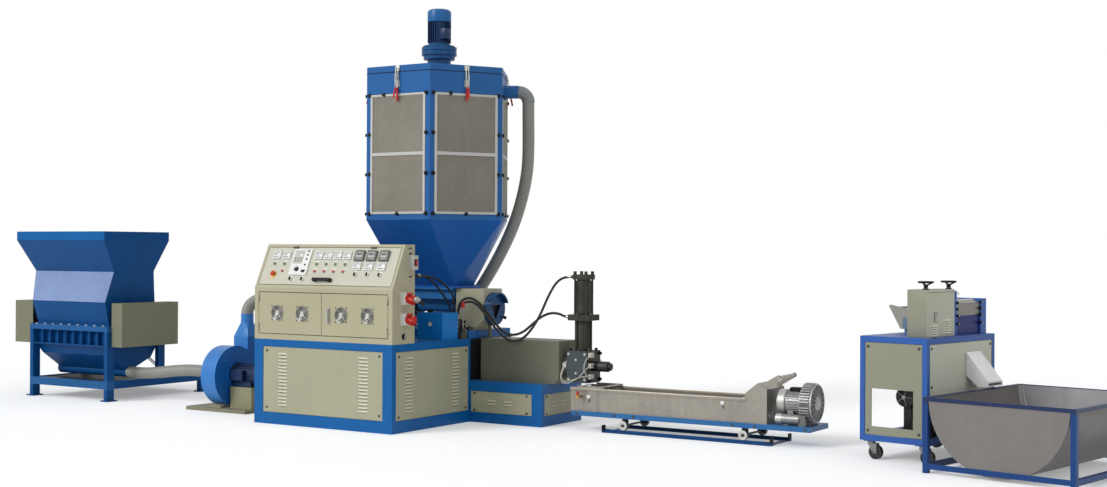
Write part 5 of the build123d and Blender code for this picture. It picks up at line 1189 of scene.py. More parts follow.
@dataclass
class HydraulicUnit:
    """The tank with its gauge, the valve manifold and the hand lever."""

    gauge: Point = (0.642, -0.17, 0.916)
    ports: tuple[Point, ...] = ((0.712, 0.15, 0.948), (0.692, 0.184, 0.948), (0.652, 0.14, 0.948), (0.652, 0.18, 0.948))

    def dress(self) -> None:
        """Paints the tank, the manifold and the lever."""
        # Painted light: the tank's blue is lifted well above the base blue to make up for the cabinet's shadow on it.
        dress(BLUE, "hydraulic_tank", name="tank_blue_painted_light", colour=(0.006, 0.19, 0.56))
        dress(DARK, "valve_manifold", name="valve_steel", colour=(0.1, 0.095, 0.08), metallic=0.6)
        stem = Zone((0.7, 0.1, 0.8), (0.85, 0.2, 1.056), (0.35, 0.34, 0.3), 0.3, 0.8)
        dress(RED, "valve_lever", name="lever_red", zones=(stem,))

    def build(self) -> None:
        """Adds the gauge face, valve coils, pipes, hose nuts and ties."""
        m = Maker("hydraulic_fittings")
        m.lathe(
            ((0.021, 0.0), (0.023, 0.002), (0.023, 0.006), (0.019, 0.006), (0.019, 0.002)), self.gauge, FRONT, ZINC, 28,
            True)
        m.lathe(((0.019, 0.0), (0.019, 0.003), (0, 0.003)), self.gauge, FRONT, WHITE, 24)
        m.block((0.6405, -0.1745, 0.914), (0.6435, -0.1725, 0.93), BLACK, 0.0)
        m.lathe(
            ((0.024, 0), (0.026, 0.006), (0.026, 0.024), (0.018, 0.03), (0, 0.031)), (0.55, -0.05, 1.015), UP, BLACK,
            20)
        for z in (0.83, 0.872, 0.912):
            m.block((0.628, 0.108, z), (0.756, 0.116, z + 0.026), ZINC, 0.002)
            m.rod((0.605, 0.14, z + 0.013), (0.632, 0.14, z + 0.013), 0.014, BLACK, 14)
            m.rod((0.75, 0.17, z + 0.013), (0.79, 0.17, z + 0.013), 0.014, BLACK, 14)
            m.rod((0.79, 0.17, z + 0.013), (0.802, 0.17, z + 0.013), 0.006, ZINC, 10)
        for x, y, z in self.ports:
            m.rod((x, y, z - 0.002), (x, y, z + 0.016), 0.015, ZINC, 6)
            m.rod((x, y, z + 0.016), (x, y, z + 0.044), 0.0125, ZINC, 14)
        m.rod((1.738, 0.49, 1.351), (1.7, 0.49, 1.351), 0.0125, ZINC, 14)
        m.rod((1.725, 0.49, 0.986), (1.69, 0.489, 0.987), 0.0125, ZINC, 14)
        for middle, along in (((0.606, -0.3, 1.3585), (0.12, 1, 0)), ((1.222, 0.318, 0.783), (1, 0.2, 0))):
            way = Vector(along).normalized() * 0.006
            start, end = Vector(middle) - way, Vector(middle) + way
            m.rod(tuple(start), tuple(end), 0.0165, PALE, 12)
        bolt_row = [(x, y) for x in (0.5, 0.755) for y in (-0.14, 0.06)]
        for x, y in bolt_row:
            m.rod((x, y, 1.014), (x, y, 1.021), 0.008, SCREW, 6)
        m.save("line", "steel")


@dataclass
class FirstStage:
    """The first extruder with its barrel, feed flanges, cover and round end disc."""

    flange_bottom: float = 1.231
    disc: Point = (0.9385, 0.45, 1.04)
    knob_ring: float = 0.148
    screw_ring: float = 0.13

    def dress(self) -> None:
        """Paints the extruder, the cover and the disc."""
        iron = (0.05, 0.052, 0.05)
        flanges = tuple(
            Zone((x0, 0.3, 0.93), (x1, 0.6, 1.2), iron, 0.4, 0.5) for x0, x1 in ((-0.1, -0.04), (0.0, 0.06)))
        # Painted light: the barrel's blue is lifted to make up for the shade that falls on it.
        dress(BLUE, "first_extruder", name="barrel_blue_painted_light", colour=(0.03, 0.18, 0.45), zones=flanges)
        # Painted light: the cover's olive is lifted to make up for the shade on its faces.
        dress(OLIVE, "first_stage_cover", name="first_cover_paint_painted_light", colour=(0.4, 0.39, 0.275))
        # Painted shade: the faces inside the disc's opening are painted near black.
        opening_shade = Zone((0.87, 0.36, 0.92), (0.9375, 0.54, 1.08), (0.006, 0.006, 0.007), 0.5)
        dress(BLUE, "end_disc", name="disc_blue", colour=(0.006, 0.055, 0.16), zones=(opening_shade,))

    def build(self) -> None:
        """Adds the flange bolts, the disc's knobs and two screws on the disc."""
        x0, x1, y0, y1 = -0.07, 0.565, 0.275, 0.625
        heads = grid(spread(x0, x1, 7), (y0, y1), (self.flange_bottom,), (0, 0, -1))
        heads += [Spot((x, y, self.flange_bottom), (0, 0, -1)) for x in (x0, x1) for y in spread(y0, y1, 5)[1:-1]]
        tops = [Spot((s.point[0], s.point[1], 1.251), UP) for s in heads]
        bolts("feed_flange_bolts", heads + tops, "line", SCREW, 0.011, 0.009, 0.016)
        m = Maker("end_disc_fittings")
        for angle in (35, 150, 215, 325):
            place = self.on_disc(self.knob_ring, angle)
            m.lathe(
                ((0.008, 0.0), (0.008, 0.014), (0.017, 0.018), (0.017, 0.028), (0.01, 0.032), (0, 0.032)), place, RIGHT,
                BLACK, 12)
        for angle in (90, 270):
            x, y, z = self.on_disc(self.screw_ring, angle)
            m.rod((x, y, z), (0.946, y, z), 0.01, SCREW, 6)
        m.save("line", "crusher_blue")

    def on_disc(self, radius: float, angle: float) -> Point:
        """Returns a point on the disc's face, at an angle in degrees."""
        x, y, z = self.disc
        return (x, y + radius * cos(radians(angle)), z + radius * sin(radians(angle)))


@dataclass
class ScreenChanger:
    """The die block with its heaters, the screen slide and its hydraulic cylinder."""

    right: float = 1.982
    front: float = 0.37
    high: float = 0.69
    heaters: tuple[float, ...] = (0.655, 0.56, 0.462)
    nozzle: tuple[float, float] = (0.49, 0.552)

    def dress(self) -> None:
        """Paints the cover, the block, the slide and the cylinder."""
        dress(OLIVE, "second_stage_cover", name="second_cover_paint", colour=(0.143, 0.15, 0.105), dust=0.4, drift=0.12)
        slate = Zone((1.75, 0.365, 0.4), (1.99, 0.375, 0.7), (0.065, 0.082, 0.09), 0.4, 0.3)
        dress(DARK, "die_block", name="die_steel", colour=(0.028, 0.027, 0.024), zones=(slate,))
        dress(DARK, "screen_slide", name="slide_steel", colour=(0.07, 0.07, 0.062), metallic=0.7)
        dress(CYLINDER, "screen_cylinder")

    def build(self) -> None:
        """Adds the face plate's screws, the terminal blocks, their wires and the black bolts."""
        face = grid((1.785, 1.953), (self.front,), (0.434, 0.66), FRONT)
        face += [Spot((1.862, self.front, z), FRONT) for z in (0.49, 0.61)]
        bolts("die_face_screws", face, "line", PALE_STEEL, 0.009, 0.007, 0.012)
        caps = grid((self.right,), (0.398, 0.582), (0.43, 0.664), RIGHT)
        caps += grid((1.79, 1.95), (0.4, 0.58), (self.high,), UP)
        bolts("die_cap_bolts", caps, "line", BLACK, 0.015, 0.02, 0.018, 6)
        m = Maker("die_heaters")
        x, y = self.right, 0.41
        for z in self.heaters:
            m.block((x, y - 0.03, z - 0.022), (x + 0.03, y + 0.03, z + 0.022), PALE, 0.004)
            for side in (-0.012, 0.012):
                m.rod((x + 0.03, y + side, z), (x + 0.036, y + side, z), 0.007, ZINC, 10)
        m.block((1.716, 0.375, 0.535), (1.756, 0.405, 0.58), PALE, 0.004)
        paths = (
            (
                (1.73, 0.372, 0.54), (1.715, 0.35, 0.48), (1.722, 0.345, 0.43), (1.76, 0.35, 0.412),
                (1.84, 0.358, 0.43), (1.93, 0.358, 0.46), (1.99, 0.372, 0.466)),
            (
                (1.735, 0.372, 0.536), (1.725, 0.34, 0.46), (1.74, 0.338, 0.4), (1.8, 0.345, 0.4), (1.9, 0.35, 0.45),
                (1.965, 0.355, 0.52), (1.998, 0.375, 0.556)),
            (
                (2.0, 0.378, 0.65), (1.985, 0.35, 0.62), (1.965, 0.345, 0.58), (1.962, 0.345, 0.52),
                (1.985, 0.352, 0.48), (2.0, 0.378, 0.47)),
        )
        for path in paths:
            m.wire(path, 0.0045, PALE, 6)
        m.save("line", "dark_steel")
        m = Maker("die_pipe")
        for x in (1.716, 1.736):
            m.tube((0.083, 0.09), (-0.006, 0.006), (x, *self.nozzle), RIGHT, ZINC, 28)
        m.lathe(
            ((0.0345, 0.0), (0.044, 0.0), (0.047, 0.004), (0.047, 0.1), (0.044, 0.106), (0.0345, 0.106)),
            (2.03, *self.nozzle), RIGHT, DARK, 28, True)
        m.rod((2.05, 0.49, 0.596), (2.05, 0.49, 0.612), 0.008, ZINC, 8)
        low, high = (Vector(c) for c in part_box("screen_slide"))
        x, y = ((low + high) / 2)[:2]
        for inner, outer, bottom, top in ((0.052, 0.056, 0.7, 0.955), (0.062, 0.071, 1.02, 1.32)):
            m.tube((inner, outer), (0.0, top - bottom), (x, y, bottom), UP, CYLINDER, 32)
        m.save("line", "dark_steel")


@dataclass
class Silo:
    """The six-sided silo: funnel, posts, framed wire cloth, latches, lid and agitator drive."""

    centre: tuple[float, float] = (0.265, 0.45)
    face_distance: float = 0.6348
    cloth_low: float = 1.943
    cloth_middle: float = 2.474
    cloth_high: float = 3.005
    cloth_half: float = 0.2935
    knob_side: float = 0.33
    corner_radius: float = 0.7345
    inlet_reach: float = 0.7651
    elbow_radius: float = 0.0947

    def dress(self) -> None:
        """Paints the funnel, frame, lid, panel frames and latches."""
        dress(FUNNEL_BLUE, "silo_funnel")
        dress(LIGHT_BLUE, "silo_frame", "silo_lid", name="silo_blue", colour=(0.022, 0.125, 0.36))
        dress(FRAME_ALLOY, "mesh_panels")
        grip = Zone((-1, -1, 2.9), (2, 2, 3.08), RED.colour, 0.3)
        dress(ZINC, "lid_latches", name="latch_zinc", zones=(grip,))

    def face(self, index: int) -> Matrix:
        """Returns the frame of one face: x to the side, y up, z out."""
        angle = radians(30 + 60 * index)
        out = Vector((cos(angle), sin(angle), 0))
        side = Vector((-sin(angle), cos(angle), 0))
        turn = Matrix((side, Vector(UP), out)).transposed().to_4x4()
        return Matrix.Translation((*self.centre, 0)) @ turn

    def build(self) -> None:
        """Builds the cloth, the knobs, the latch grips, the motor's bolts and the inlet sleeve."""
        cloth, grips = Maker("silo_cloth"), Maker("latch_grips")
        knobs: list[Spot] = []
        for index in range(6):
            place = self.face(index)
            cloth.place = grips.place = place
            for low, high in (
                    (self.cloth_low, self.cloth_middle - 0.012), (self.cloth_middle + 0.012, self.cloth_high)):
                depth = self.face_distance - 0.0028
                cloth.block((-self.cloth_half, low, depth), (self.cloth_half, high, depth + 0.001), CLOTH, 0.0)
            for side in (-1, 1):
                for z in (3.025, 2.66, 2.29, 1.922):
                    knobs.append(self._on_face(place, side * self.knob_side, z))
            knobs += [self._on_face(place, x, z) for x, z in ((0, 1.922), (-0.16, 3.025))]
            shift = 0.15 if index == 0 else 0.0
            out = self.face_distance
            grips.wire(
                ((shift, 3.085, out + 0.03), (shift, 3.05, out + 0.05), (shift - 0.004, 2.985, out + 0.062)), 0.0085,
                RED, 8)
            for side in (-1, 1):
                x, bend = shift + side * 0.011, shift + side * 0.012
                rods = ((x, 3.262, out + 0.014), (bend, 3.17, out + 0.034), (x, 3.075, out + 0.03))
                grips.wire(rods, 0.0035, ZINC, 6)
            grips.block((shift - 0.024, 3.24, out + 0.001), (shift + 0.024, 3.285, out + 0.012), ZINC, 0.002)
        cloth.save("line", "mesh")
        grips.save("line", "steel")
        bolts("silo_knobs", knobs, "line", BLACK, 0.016, 0.018, 0.02, 7)
        self._agitator()
        seam = Maker("silo_seams")
        corners = [(self.centre[0] + x, self.centre[1] + y, 3.2315) for x, y in circle(self.corner_radius, 6)]
        seam.wire(corners, 0.0035, BLACK, 6, True)
        seam.save("line", "machine_blue")
        self._inlet_sleeve()

    def _agitator(self) -> None:
        """Builds the agitator's gear flanges, finned motor and cowl."""
        m = Maker("agitator_drive")
        foot = (*self.centre, 3.292)
        steps = ((0.12, 0.0), (0.12, 0.02), (0.15, 0.022), (0.15, 0.044), (0.112, 0.046), (0.112, 0.118), (0.15, 0.12),
                 (0.15, 0.156), (0.168, 0.158), (0.168, 0.19), (0.16, 0.192), (0.16, 0.2), (0.168, 0.202),
                 (0.168, 0.234),
                 (0.15, 0.236), (0.15, 0.25), (0.108, 0.262), (0.1, 0.272), (0.094, 0.274), (0.094, 0.48), (0, 0.48))
        m.lathe(steps, foot, UP, GEAR_BLUE, 48)
        m.fins(foot, 0.09, 0.112, 0.28, 0.478, 28, 0.005, NAVY, UP)
        m.lathe(
            ((0.1, 0.476), (0.113, 0.48), (0.114, 0.5), (0.114, 0.572), (0.106, 0.59), (0.088, 0.6), (0, 0.6)), foot,
            UP, CAP_BLUE, 48)
        m.block((0.335, 0.36, 3.6), (0.4, 0.45, 3.7), NAVY, 0.006)
        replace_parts(m.save("line", "motor_blue"), "agitator_motor")
        spots = ring_spots((*self.centre, 3.526), UP, 0.158, 12) + ring_spots((*self.centre, 3.336), UP, 0.134, 8)
        bolts("agitator_bolts", spots, "line", SCREW, 0.009, 0.008, 0.012)

    def _on_face(self, place: Matrix, side: float, height: float) -> Spot:
        """Returns a spot on one face."""
        point = place @ Vector((side, height, self.face_distance))
        return Spot(tuple(point), tuple(place.to_3x3() @ Vector(UP)))

    def _inlet_sleeve(self) -> None:
        """Builds the ribbed grey sleeve over the inlet elbow."""
        out = level(30)
        hub = Vector((*self.centre, 3.0083)) + out * self.inlet_reach
        sleeve("inlet_sleeve", hub, out, self.elbow_radius, 9)


def level(angle: float) -> Vector:
    """Returns the level direction at an angle in degrees."""
    return Vector((cos(radians(angle)), sin(radians(angle)), 0))


def sleeve(name: str, hub: Vector, out: Vector, reach: float, steps: int) -> None:
    """Builds a short ribbed sleeve over a quarter elbow.

    Args:
        name: The piece's name.
        hub: The point that the elbow bends round.
        out: The level way from the hub to the elbow's start.
        reach: The bend's radius.
        steps: How many points the bend is drawn through.
    """
    line = [hub + out * reach * cos(a) + Vector((0, 0, reach * sin(a))) for a in spread(0.0, pi / 2, steps)]
    curve = bpy.data.curves.new(name, "CURVE")
    curve.dimensions = "3D"
    spline = curve.splines.new("POLY")
    spline.points.add(len(line) - 1)
    for control, point in zip(spline.points, line):
        control.co = (*point, 1.0)
    duct(name, curve, SLEEVE_RADIUS)


@dataclass
class Crusher:
    """The foam crusher: frame, hopper, chamber, covers and the crossed blades."""

    beam: tuple[float, float, float, float] = (-4.4, -3.36, -0.475, 0.775)
    middle: float = -3.88

    def dress(self) -> None:
        """Paints the crusher."""
        # Painted shade: the floor plate under the frame is painted near black for the shade under the hopper.
        plate = Zone((-4.45, -0.5, 0.184), (-3.3, 0.9, 0.197), (0.02, 0.022, 0.026), 0.5)
        beam = Zone((-4.5, -0.505, 0.715), (-3.25, -0.4, 0.78), (0.02, 0.11, 0.31), 0.3)
        rail = Zone((-4.5, -0.505, 0.12), (-3.25, -0.39, 0.21), (0.02, 0.11, 0.29), 0.35)
        dress(CRUSHER_BLUE, "crusher_frame", name="crusher_frame_paint", zones=(plate, beam, rail))
        # Painted reflection: a pale band on the front-facing hopper faces between z 1.024 and 1.343 stands in for the
        # sky reflected on the leaning face.
        painted_reflection = Zone((-4.6, -0.51, 1.024), (-3.2, -0.3, 1.343), (0.24, 0.33, 0.56), 0.3, facing=FRONT)
        rim = Zone((-4.7, -0.7, 1.672), (-3.1, -0.6, 1.772), (0.008, 0.12, 0.36), 0.3)
        dress(CRUSHER_BLUE, "crusher_hopper", name="hopper_paint", drift=0.12, zones=(painted_reflection, rim))
        dress(CRUSHER_BLUE, "crusher_chamber", name="chamber_paint", dust=0.2)
        # Painted shade: the cover faces that look right at the crusher's left end (x -4.52 to -4.49) are painted near
        # black.
        dark = Zone((-4.52, -0.5, 0.5), (-4.49, 0.4, 1.05), (0.012, 0.012, 0.012), 0.6, facing=RIGHT)
        dress(OLIVE, "crusher_covers", name="crusher_cover_paint", colour=(0.2, 0.2, 0.13), dust=0.05, zones=(dark,))
        dress(DARK, "crusher_rotor", name="blade_steel", colour=(0.2, 0.2, 0.2), metallic=0.8)

    def build(self) -> None:
        """Adds the beam's bolts, the foot bolts and the weld seams round the hopper."""
        x0, x1, y, z = self.beam
        heads = [Spot((x, y, z), UP) for x in spread(x0, x1, 9)]
        bolts("crusher_beam_bolts", heads, "line", PALE_STEEL, 0.013, 0.011, 0.018)
        feet = grid((-4.5, -3.26), (-0.45, 0.855), (0.01,), UP)
        bolts("crusher_foot_bolts", feet, "line", SCREW, 0.011, 0.01, 0.016)
        m = Maker("hopper_welds")
        for z, half, front, back in ((1.022, 0.567, -0.495, 0.179), (1.345, 0.613, -0.418, 0.122)):
            left, right = self.middle - half, self.middle + half
            corners = ((left, front, z), (right, front, z), (right, back, z), (left, back, z))
            m.wire(corners, 0.004, CRUSHER_BLUE, 6, True)
        m.save("line", "crusher_blue")


@dataclass
class TransportFan:
    """The fan that blows the foam up: scroll, duct, motor, pedestal and slab."""

    eye: Point = (-1.65, -0.29, 0.36)
    outlet: Point = (-1.745, -0.041, 0.939)
    elbow_radius: float = 0.14

    def dress(self) -> None:
        """Paints the fan."""
        elbow = Zone((-1.95, -0.25, 0.9395), (-1.5, 0.2, 1.25), (0.27, 0.275, 0.26), 0.45)
        scroll = Zone((-1.655, -0.66, 0.0), (-1.6, 0.1, 0.72), (0.012, 0.13, 0.45), 0.32)
        dress(LIGHT_BLUE, "blower_housing", name="fan_blue", colour=(0.05, 0.22, 0.58), zones=(elbow, scroll))
        dress(NAVY, "blower_motor", name="fan_motor_navy", colour=(0.008, 0.026, 0.085))
        slab = Zone((-2.2, -0.6, -0.01), (-1.2, 0.1, 0.035), (0.23, 0.22, 0.15), 0.6)
        dress(PANEL, "blower_base", name="pedestal_paint", colour=(0.3, 0.285, 0.17), dust=0.3, zones=(slab,))

    def build(self) -> None:
        """Adds the scroll's bolts, the motor's fins and cowl, and the elbow's sleeve."""
        x, y, z = self.eye
        hub = ring_spots((x + 0.046, y, z), RIGHT, 0.1, 6, 0.3)
        bolts("fan_bolts", hub, "line", SCREW, 0.009, 0.007, 0.013)
        m = Maker("fan_motor_parts")
        m.fins((x + 0.046, y, z), 0.094, 0.107, 0.02, 0.255, 26, 0.004, NAVY)
        m.lathe(
            ((0.1035, 0.27), (0.106, 0.275), (0.106, 0.34), (0.1035, 0.345)), (x + 0.024, y, z), RIGHT, NAVY, 32, True)
        m.lathe(((0.06, 0.0), (0.055, 0.003), (0, 0.004)), (-1.28, y, z), RIGHT, BLACK, 24)
        for k in range(6):
            a = pi / 3 * k
            m.wire([(-1.2765, y + r * cos(a), z + r * sin(a)) for r in (0.02, 0.085)], 0.003, NAVY, 5)
        m.save("line", "motor_blue")
        way = level(40)
        bend = Vector(self.outlet) + way * self.elbow_radius
        sleeve("fan_elbow_sleeve", bend, -way, self.elbow_radius, 11)


@dataclass
class CoolingTrough:
    """The stainless trough on its carriage, with rails, roller and ring blower."""

    wheels: tuple[float, ...] = (2.425, 3.56)
    blower: Point = (4.119, 0.44, 0.3483)

    def dress(self) -> None:
        """Paints rails, carriage, tank, roller and blower."""
        stops = Zone((2.2, 0.2, 0.02), (2.28, 0.7, 0.07), BLACK.colour, 0.4)
        ends = Zone((3.75, 0.2, 0.02), (3.85, 0.7, 0.07), BLACK.colour, 0.4)
        dress(CRUSHER_BLUE, "trough_rails", name="rail_paint", colour=(0.012, 0.07, 0.21), zones=(stops, ends))
        brackets = Zone((1.9, 0.2, 0.0), (4.2, 0.7, 0.1295), (0.02, 0.02, 0.022), 0.4)
        dress(LIGHT_BLUE, "carriage_frame", name="carriage_paint", colour=(0.03, 0.145, 0.36), zones=(brackets,))
        inside = Zone((1.887, 0.267, 0.18), (3.563, 0.613, 0.36), (0.24, 0.235, 0.215), 0.4, 0.5)
        tap = Zone((1.94, 0.2, 0.262), (2.04, 0.2595, 0.34), (0.42, 0.27, 0.09), 0.3, 0.8)
        box_side = Zone((3.7, 0.25, 0.18), (3.775, 0.63, 0.5), (0.12, 0.115, 0.1), 0.4, 0.5, facing=RIGHT)
        dress(
            STEEL, "cooling_tank", name="trough_steel", colour=(0.345, 0.32, 0.275), marks=0.85, drift=0.16,
            zones=(inside, tap, box_side))
        dress(DARK, "wheel_set_left", "wheel_set_right", name="wheel_iron", colour=(0.12, 0.13, 0.12), metallic=0.6)
        dress(WHITE, "strand_roller", name="roller_nylon", colour=(0.62, 0.57, 0.5))
        motor = Zone((3.7, 0.2, 0.15), (4.024, 0.7, 0.6), (0.27, 0.27, 0.265), 0.4, 0.6)
        cap = Zone((3.7, 0.2, 0.15), (3.878, 0.7, 0.6), (0.5, 0.5, 0.48), 0.5, 0.6)
        dress(
            ZINC, "ring_blower", name="blower_alloy", colour=(0.17, 0.17, 0.165), metallic=0.4, relief=Relief.CAST,
            zones=(motor, cap))

    def build(self) -> None:
        """Adds the tank's fittings, the wheel bolts and the blower's ribs and hub."""
        m = Maker("trough_fittings")
        for x, z in ((2.06, 0.3), (3.36, 0.325)):
            m.block((x - 0.016, 0.254, z - 0.016), (x + 0.016, 0.2605, z + 0.016), WHITE, 0.003)
            m.lathe(
                ((0.006, 0.0), (0.006, 0.01), (0.013, 0.013), (0.013, 0.022), (0, 0.024)), (x, 0.256, z - 0.03), FRONT,
                DULL_STEEL, 12)
        m.lathe(
            ((0.013, 0.0), (0.013, 0.014), (0.02, 0.016), (0.02, 0.03), (0, 0.03)), (1.99, 0.214, 0.302), FRONT, BRASS,
            6)
        m.block((1.982, 0.178, 0.316), (1.998, 0.2, 0.352), RED, 0.003)
        for x in (1.9, 3.552):
            m.block((x - 0.012, 0.2605, 0.374), (x + 0.012, 0.619, 0.38), DULL_STEEL, 0.002)
        for y in (0.3, 0.44, 0.58):
            m.rod((3.7605, y, 0.24), (3.768, y, 0.24), 0.009, PALE_STEEL, 6)
        m.block((1.874, 0.2535, 0.3625), (3.572, 0.2605, 0.3765), RIM_STEEL, 0.002)
        m.block((1.874, 0.6195, 0.3625), (3.572, 0.6265, 0.3765), RIM_STEEL, 0.002)
        m.save("carriage", "steel")
        for side, x in zip(("left", "right"), self.wheels):
            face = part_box(f"wheel_set_{side}")[0][1]
            h = Maker(f"wheel_hub_{side}")
            h.lathe(
                ((0.04, 0.0), (0.04, 0.003), (0.03, 0.004), (0.03, 0.001), (0, 0.001)), (x, face, 0.0723), FRONT,
                PALE_STEEL, 24)
            h.lathe(((0.014, 0.0), (0.014, 0.01), (0, 0.012)), (x, face, 0.0723), FRONT, DARK, 12)
            h.save(f"wheels_{side}", "steel")
        spots = grid((1.95, 2.33, 2.52, 3.46, 3.66, 4.1), (0.24,), (0.151,), FRONT)
        bolts("carriage_bolts", spots, "carriage", SCREW, 0.009, 0.007, 0.013)
        x, y, z = self.blower
        b = Maker("blower_parts")
        b.fins((x - 0.004, y, z), 0.06, 0.15, 0.0, 0.016, 16, 0.005, BLOWER_ALLOY)
        b.tube((0.15, 0.157), (0.0, 0.01), (x, y, z), RIGHT, BLOWER_ALLOY, 40)
        b.lathe(((0.058, 0.0), (0.058, 0.012), (0.05, 0.016), (0, 0.017)), (x, y, z), RIGHT, BLOWER_ALLOY, 28)
        b.fins((3.877, y, z), 0.09, 0.104, 0.012, 0.138, 30, 0.0035, BLOWER_ALLOY)
        b.fins((4.027, y, z), 0.15, 0.168, 0.004, 0.088, 44, 0.008, BLOWER_ALLOY)
        b.lathe(
            ((0.1045, 0.0), (0.107, 0.003), (0.107, 0.055), (0.1045, 0.058)), (3.814, y, z), RIGHT, CAP_ALLOY, 36, True)
        b.block((3.9, y - 0.04, z + 0.09), (3.99, y + 0.04, z + 0.125), BLACK, 0.005)
        b.save("carriage", "blower_alloy")


@dataclass
class StrandCutter:
    """The strand cutter: table, panels, head box, cutting chamber, tray, chute and casters."""

    box_right: float = -0.056
    head_top: float = 1.309
    chamber_right: float = -0.076
    drive: tuple[float, float] = (-0.335, 0.472)

    def dress(self) -> None:
        """Paints the cutter."""
        floor = Zone((-0.533, 0.041, 0.14), (-0.041, 1.03, 0.157), (0.035, 0.03, 0.026), 0.5, place=Place.STATION)
        top = Zone((-0.58, -0.01, 0.9465), (0.01, 1.08, 0.96), (0.07, 0.13, 0.38), 0.34, place=Place.STATION)
        dress(CUTTER_BLUE, "pelletizer_frame", name="cutter_frame_paint", zones=(floor, top))
        # Painted light and shade: the panels' right-facing faces get the pale lit colour and all other faces a dark
        # shaded copy of the same paint.
        right = Zone((-0.06, 0.0, 0.4), (0.01, 1.07, 0.95), CUTTER_LIT_SIDE.colour, 0.42, facing=RIGHT, place=Place.STATION)
        dress(CUTTER_LIT_SIDE, "pelletizer_panels", name="cutter_panel_paint_lit_and_shaded", colour=(0.276, 0.277, 0.205), zones=(right,))
        hood = Zone((-0.272, 0.581, 1.0985), (-0.078, 0.969, 1.23), (0.25, 0.235, 0.22), 0.35, 0.7, place=Place.STATION)
        bed = Zone((-0.292, 0.581, 0.94), (-0.082, 0.969, 1.0985), (0.01, 0.025, 0.16), 0.35, place=Place.STATION)
        dress(CUTTER_BLUE, "cutter_chamber", name="chamber_blue", zones=(hood, bed))
        box = Zone((-0.545, 0.4, 0.94), (-0.29, 1.05, 1.067), (0.13, 0.215, 0.3), 0.4, place=Place.STATION)
        dress(PANEL, "feed_tray", name="tray_paint", colour=(0.32, 0.315, 0.27), marks=0.0, zones=(box,))
        dress(
            STEEL, "discharge_chute", name="chute_steel", colour=(0.9, 0.89, 0.91), roughness=0.4, metallic=0.2,
            relief=Relief.GRAIN_Z, marks=0.1)
        dress(BLACK, "handwheel_front", "handwheel_back")
        dress(DARK, "pelletizer_motor", name="cutter_motor_grey", colour=(0.06, 0.06, 0.058))
        dress(ZINC, "caster_fork_left", "caster_fork_right", name="fork_zinc", colour=(0.25, 0.25, 0.24))
        dress(TYRE, "caster_wheel_left", "caster_wheel_right", "rear_wheels")

    def build(self) -> None:
        """Adds the screws, louvres, latch, knobs, hook, hinges, drive wheel and wheel hubs."""
        m = Maker("cutter_fittings", STATION)
        x = self.box_right
        m.block((x, 0.2, 1.064), (x + 0.003, 0.25, 1.134), BLACK, 0.001)
        m.block((x, 0.205, 1.07), (x + 0.004, 0.245, 1.128), PALE_STEEL, 0.001)
        m.block((x + 0.003, 0.209, 1.076), (x + 0.012, 0.218, 1.12), ZINC, 0.002)
        m.block((x + 0.003, 0.228, 1.084), (x + 0.014, 0.24, 1.124), ZINC, 0.002)
        for v in (0.575, 0.975):
            for z in (1.2, 1.15, 1.1, 1.035):
                y = v + (0.01 if v < 0.7 else -0.01)
                m.rod((self.chamber_right, y, z), (self.chamber_right + 0.02, y, z), 0.011, BLACK, 10)
                m.rod((self.chamber_right + 0.02, y, z), (self.chamber_right + 0.025, y, z), 0.006, ZINC, 6)
        m.wire(
            ((-0.17, 0.77, 1.218), (-0.17, 0.77, 1.262), (-0.17, 0.782, 1.276), (-0.17, 0.796, 1.27),
            (-0.17, 0.8, 1.256)), 0.004, ZINC, 6)
        m.rod((-0.13, 0.6, 1.215), (-0.13, 0.95, 1.215), 0.009, ZINC, 10)
        for z in (0.44, 0.83):
            m.rod((-0.58, 0.03, z - 0.035), (-0.58, 0.03, z + 0.035), 0.009, BLACK, 10)
        m.block((-0.578, 0.02, 0.42), (-0.574, 0.04, 0.86), BLACK, 0.001)
        # A strip in the painted lit side colour fills the gap under the right panel.
        m.block((-0.014, 0.046, 0.5), (-0.008, 1.024, 0.549), CUTTER_LIT_SIDE, 0.001)
        m.save("line", "instrument")
        h = Maker("head_box_sheet", STATION)
        # The sheet takes the head box paint with its painted lit side.
        h.block((-0.222, 0.091, 0.948), (x, 0.52, self.head_top), HEAD_PAINT_LIT_AND_SHADED, 0.004)
        h.block((-0.2225, 0.1, self.head_top - 0.022), (x + 0.0012, 0.511, self.head_top - 0.02), BLACK, 0.0)
        for v in (0.128, 0.478):
            h.lathe(
                ((0.024, -0.002), (0.024, 0.006), (0.018, 0.012), (0.0115, 0.012), (0.0115, -0.002)),
                (-0.085, v, self.head_top), UP, DARK, 20, True)
        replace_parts(h.save("line", "panel_cream"), "head_box")
        rows = grid((x,), (0.212,), spread(0.962, 1.036, 5), RIGHT)
        rows += grid((x,), (0.402,), spread(0.978, 1.072, 6), RIGHT)
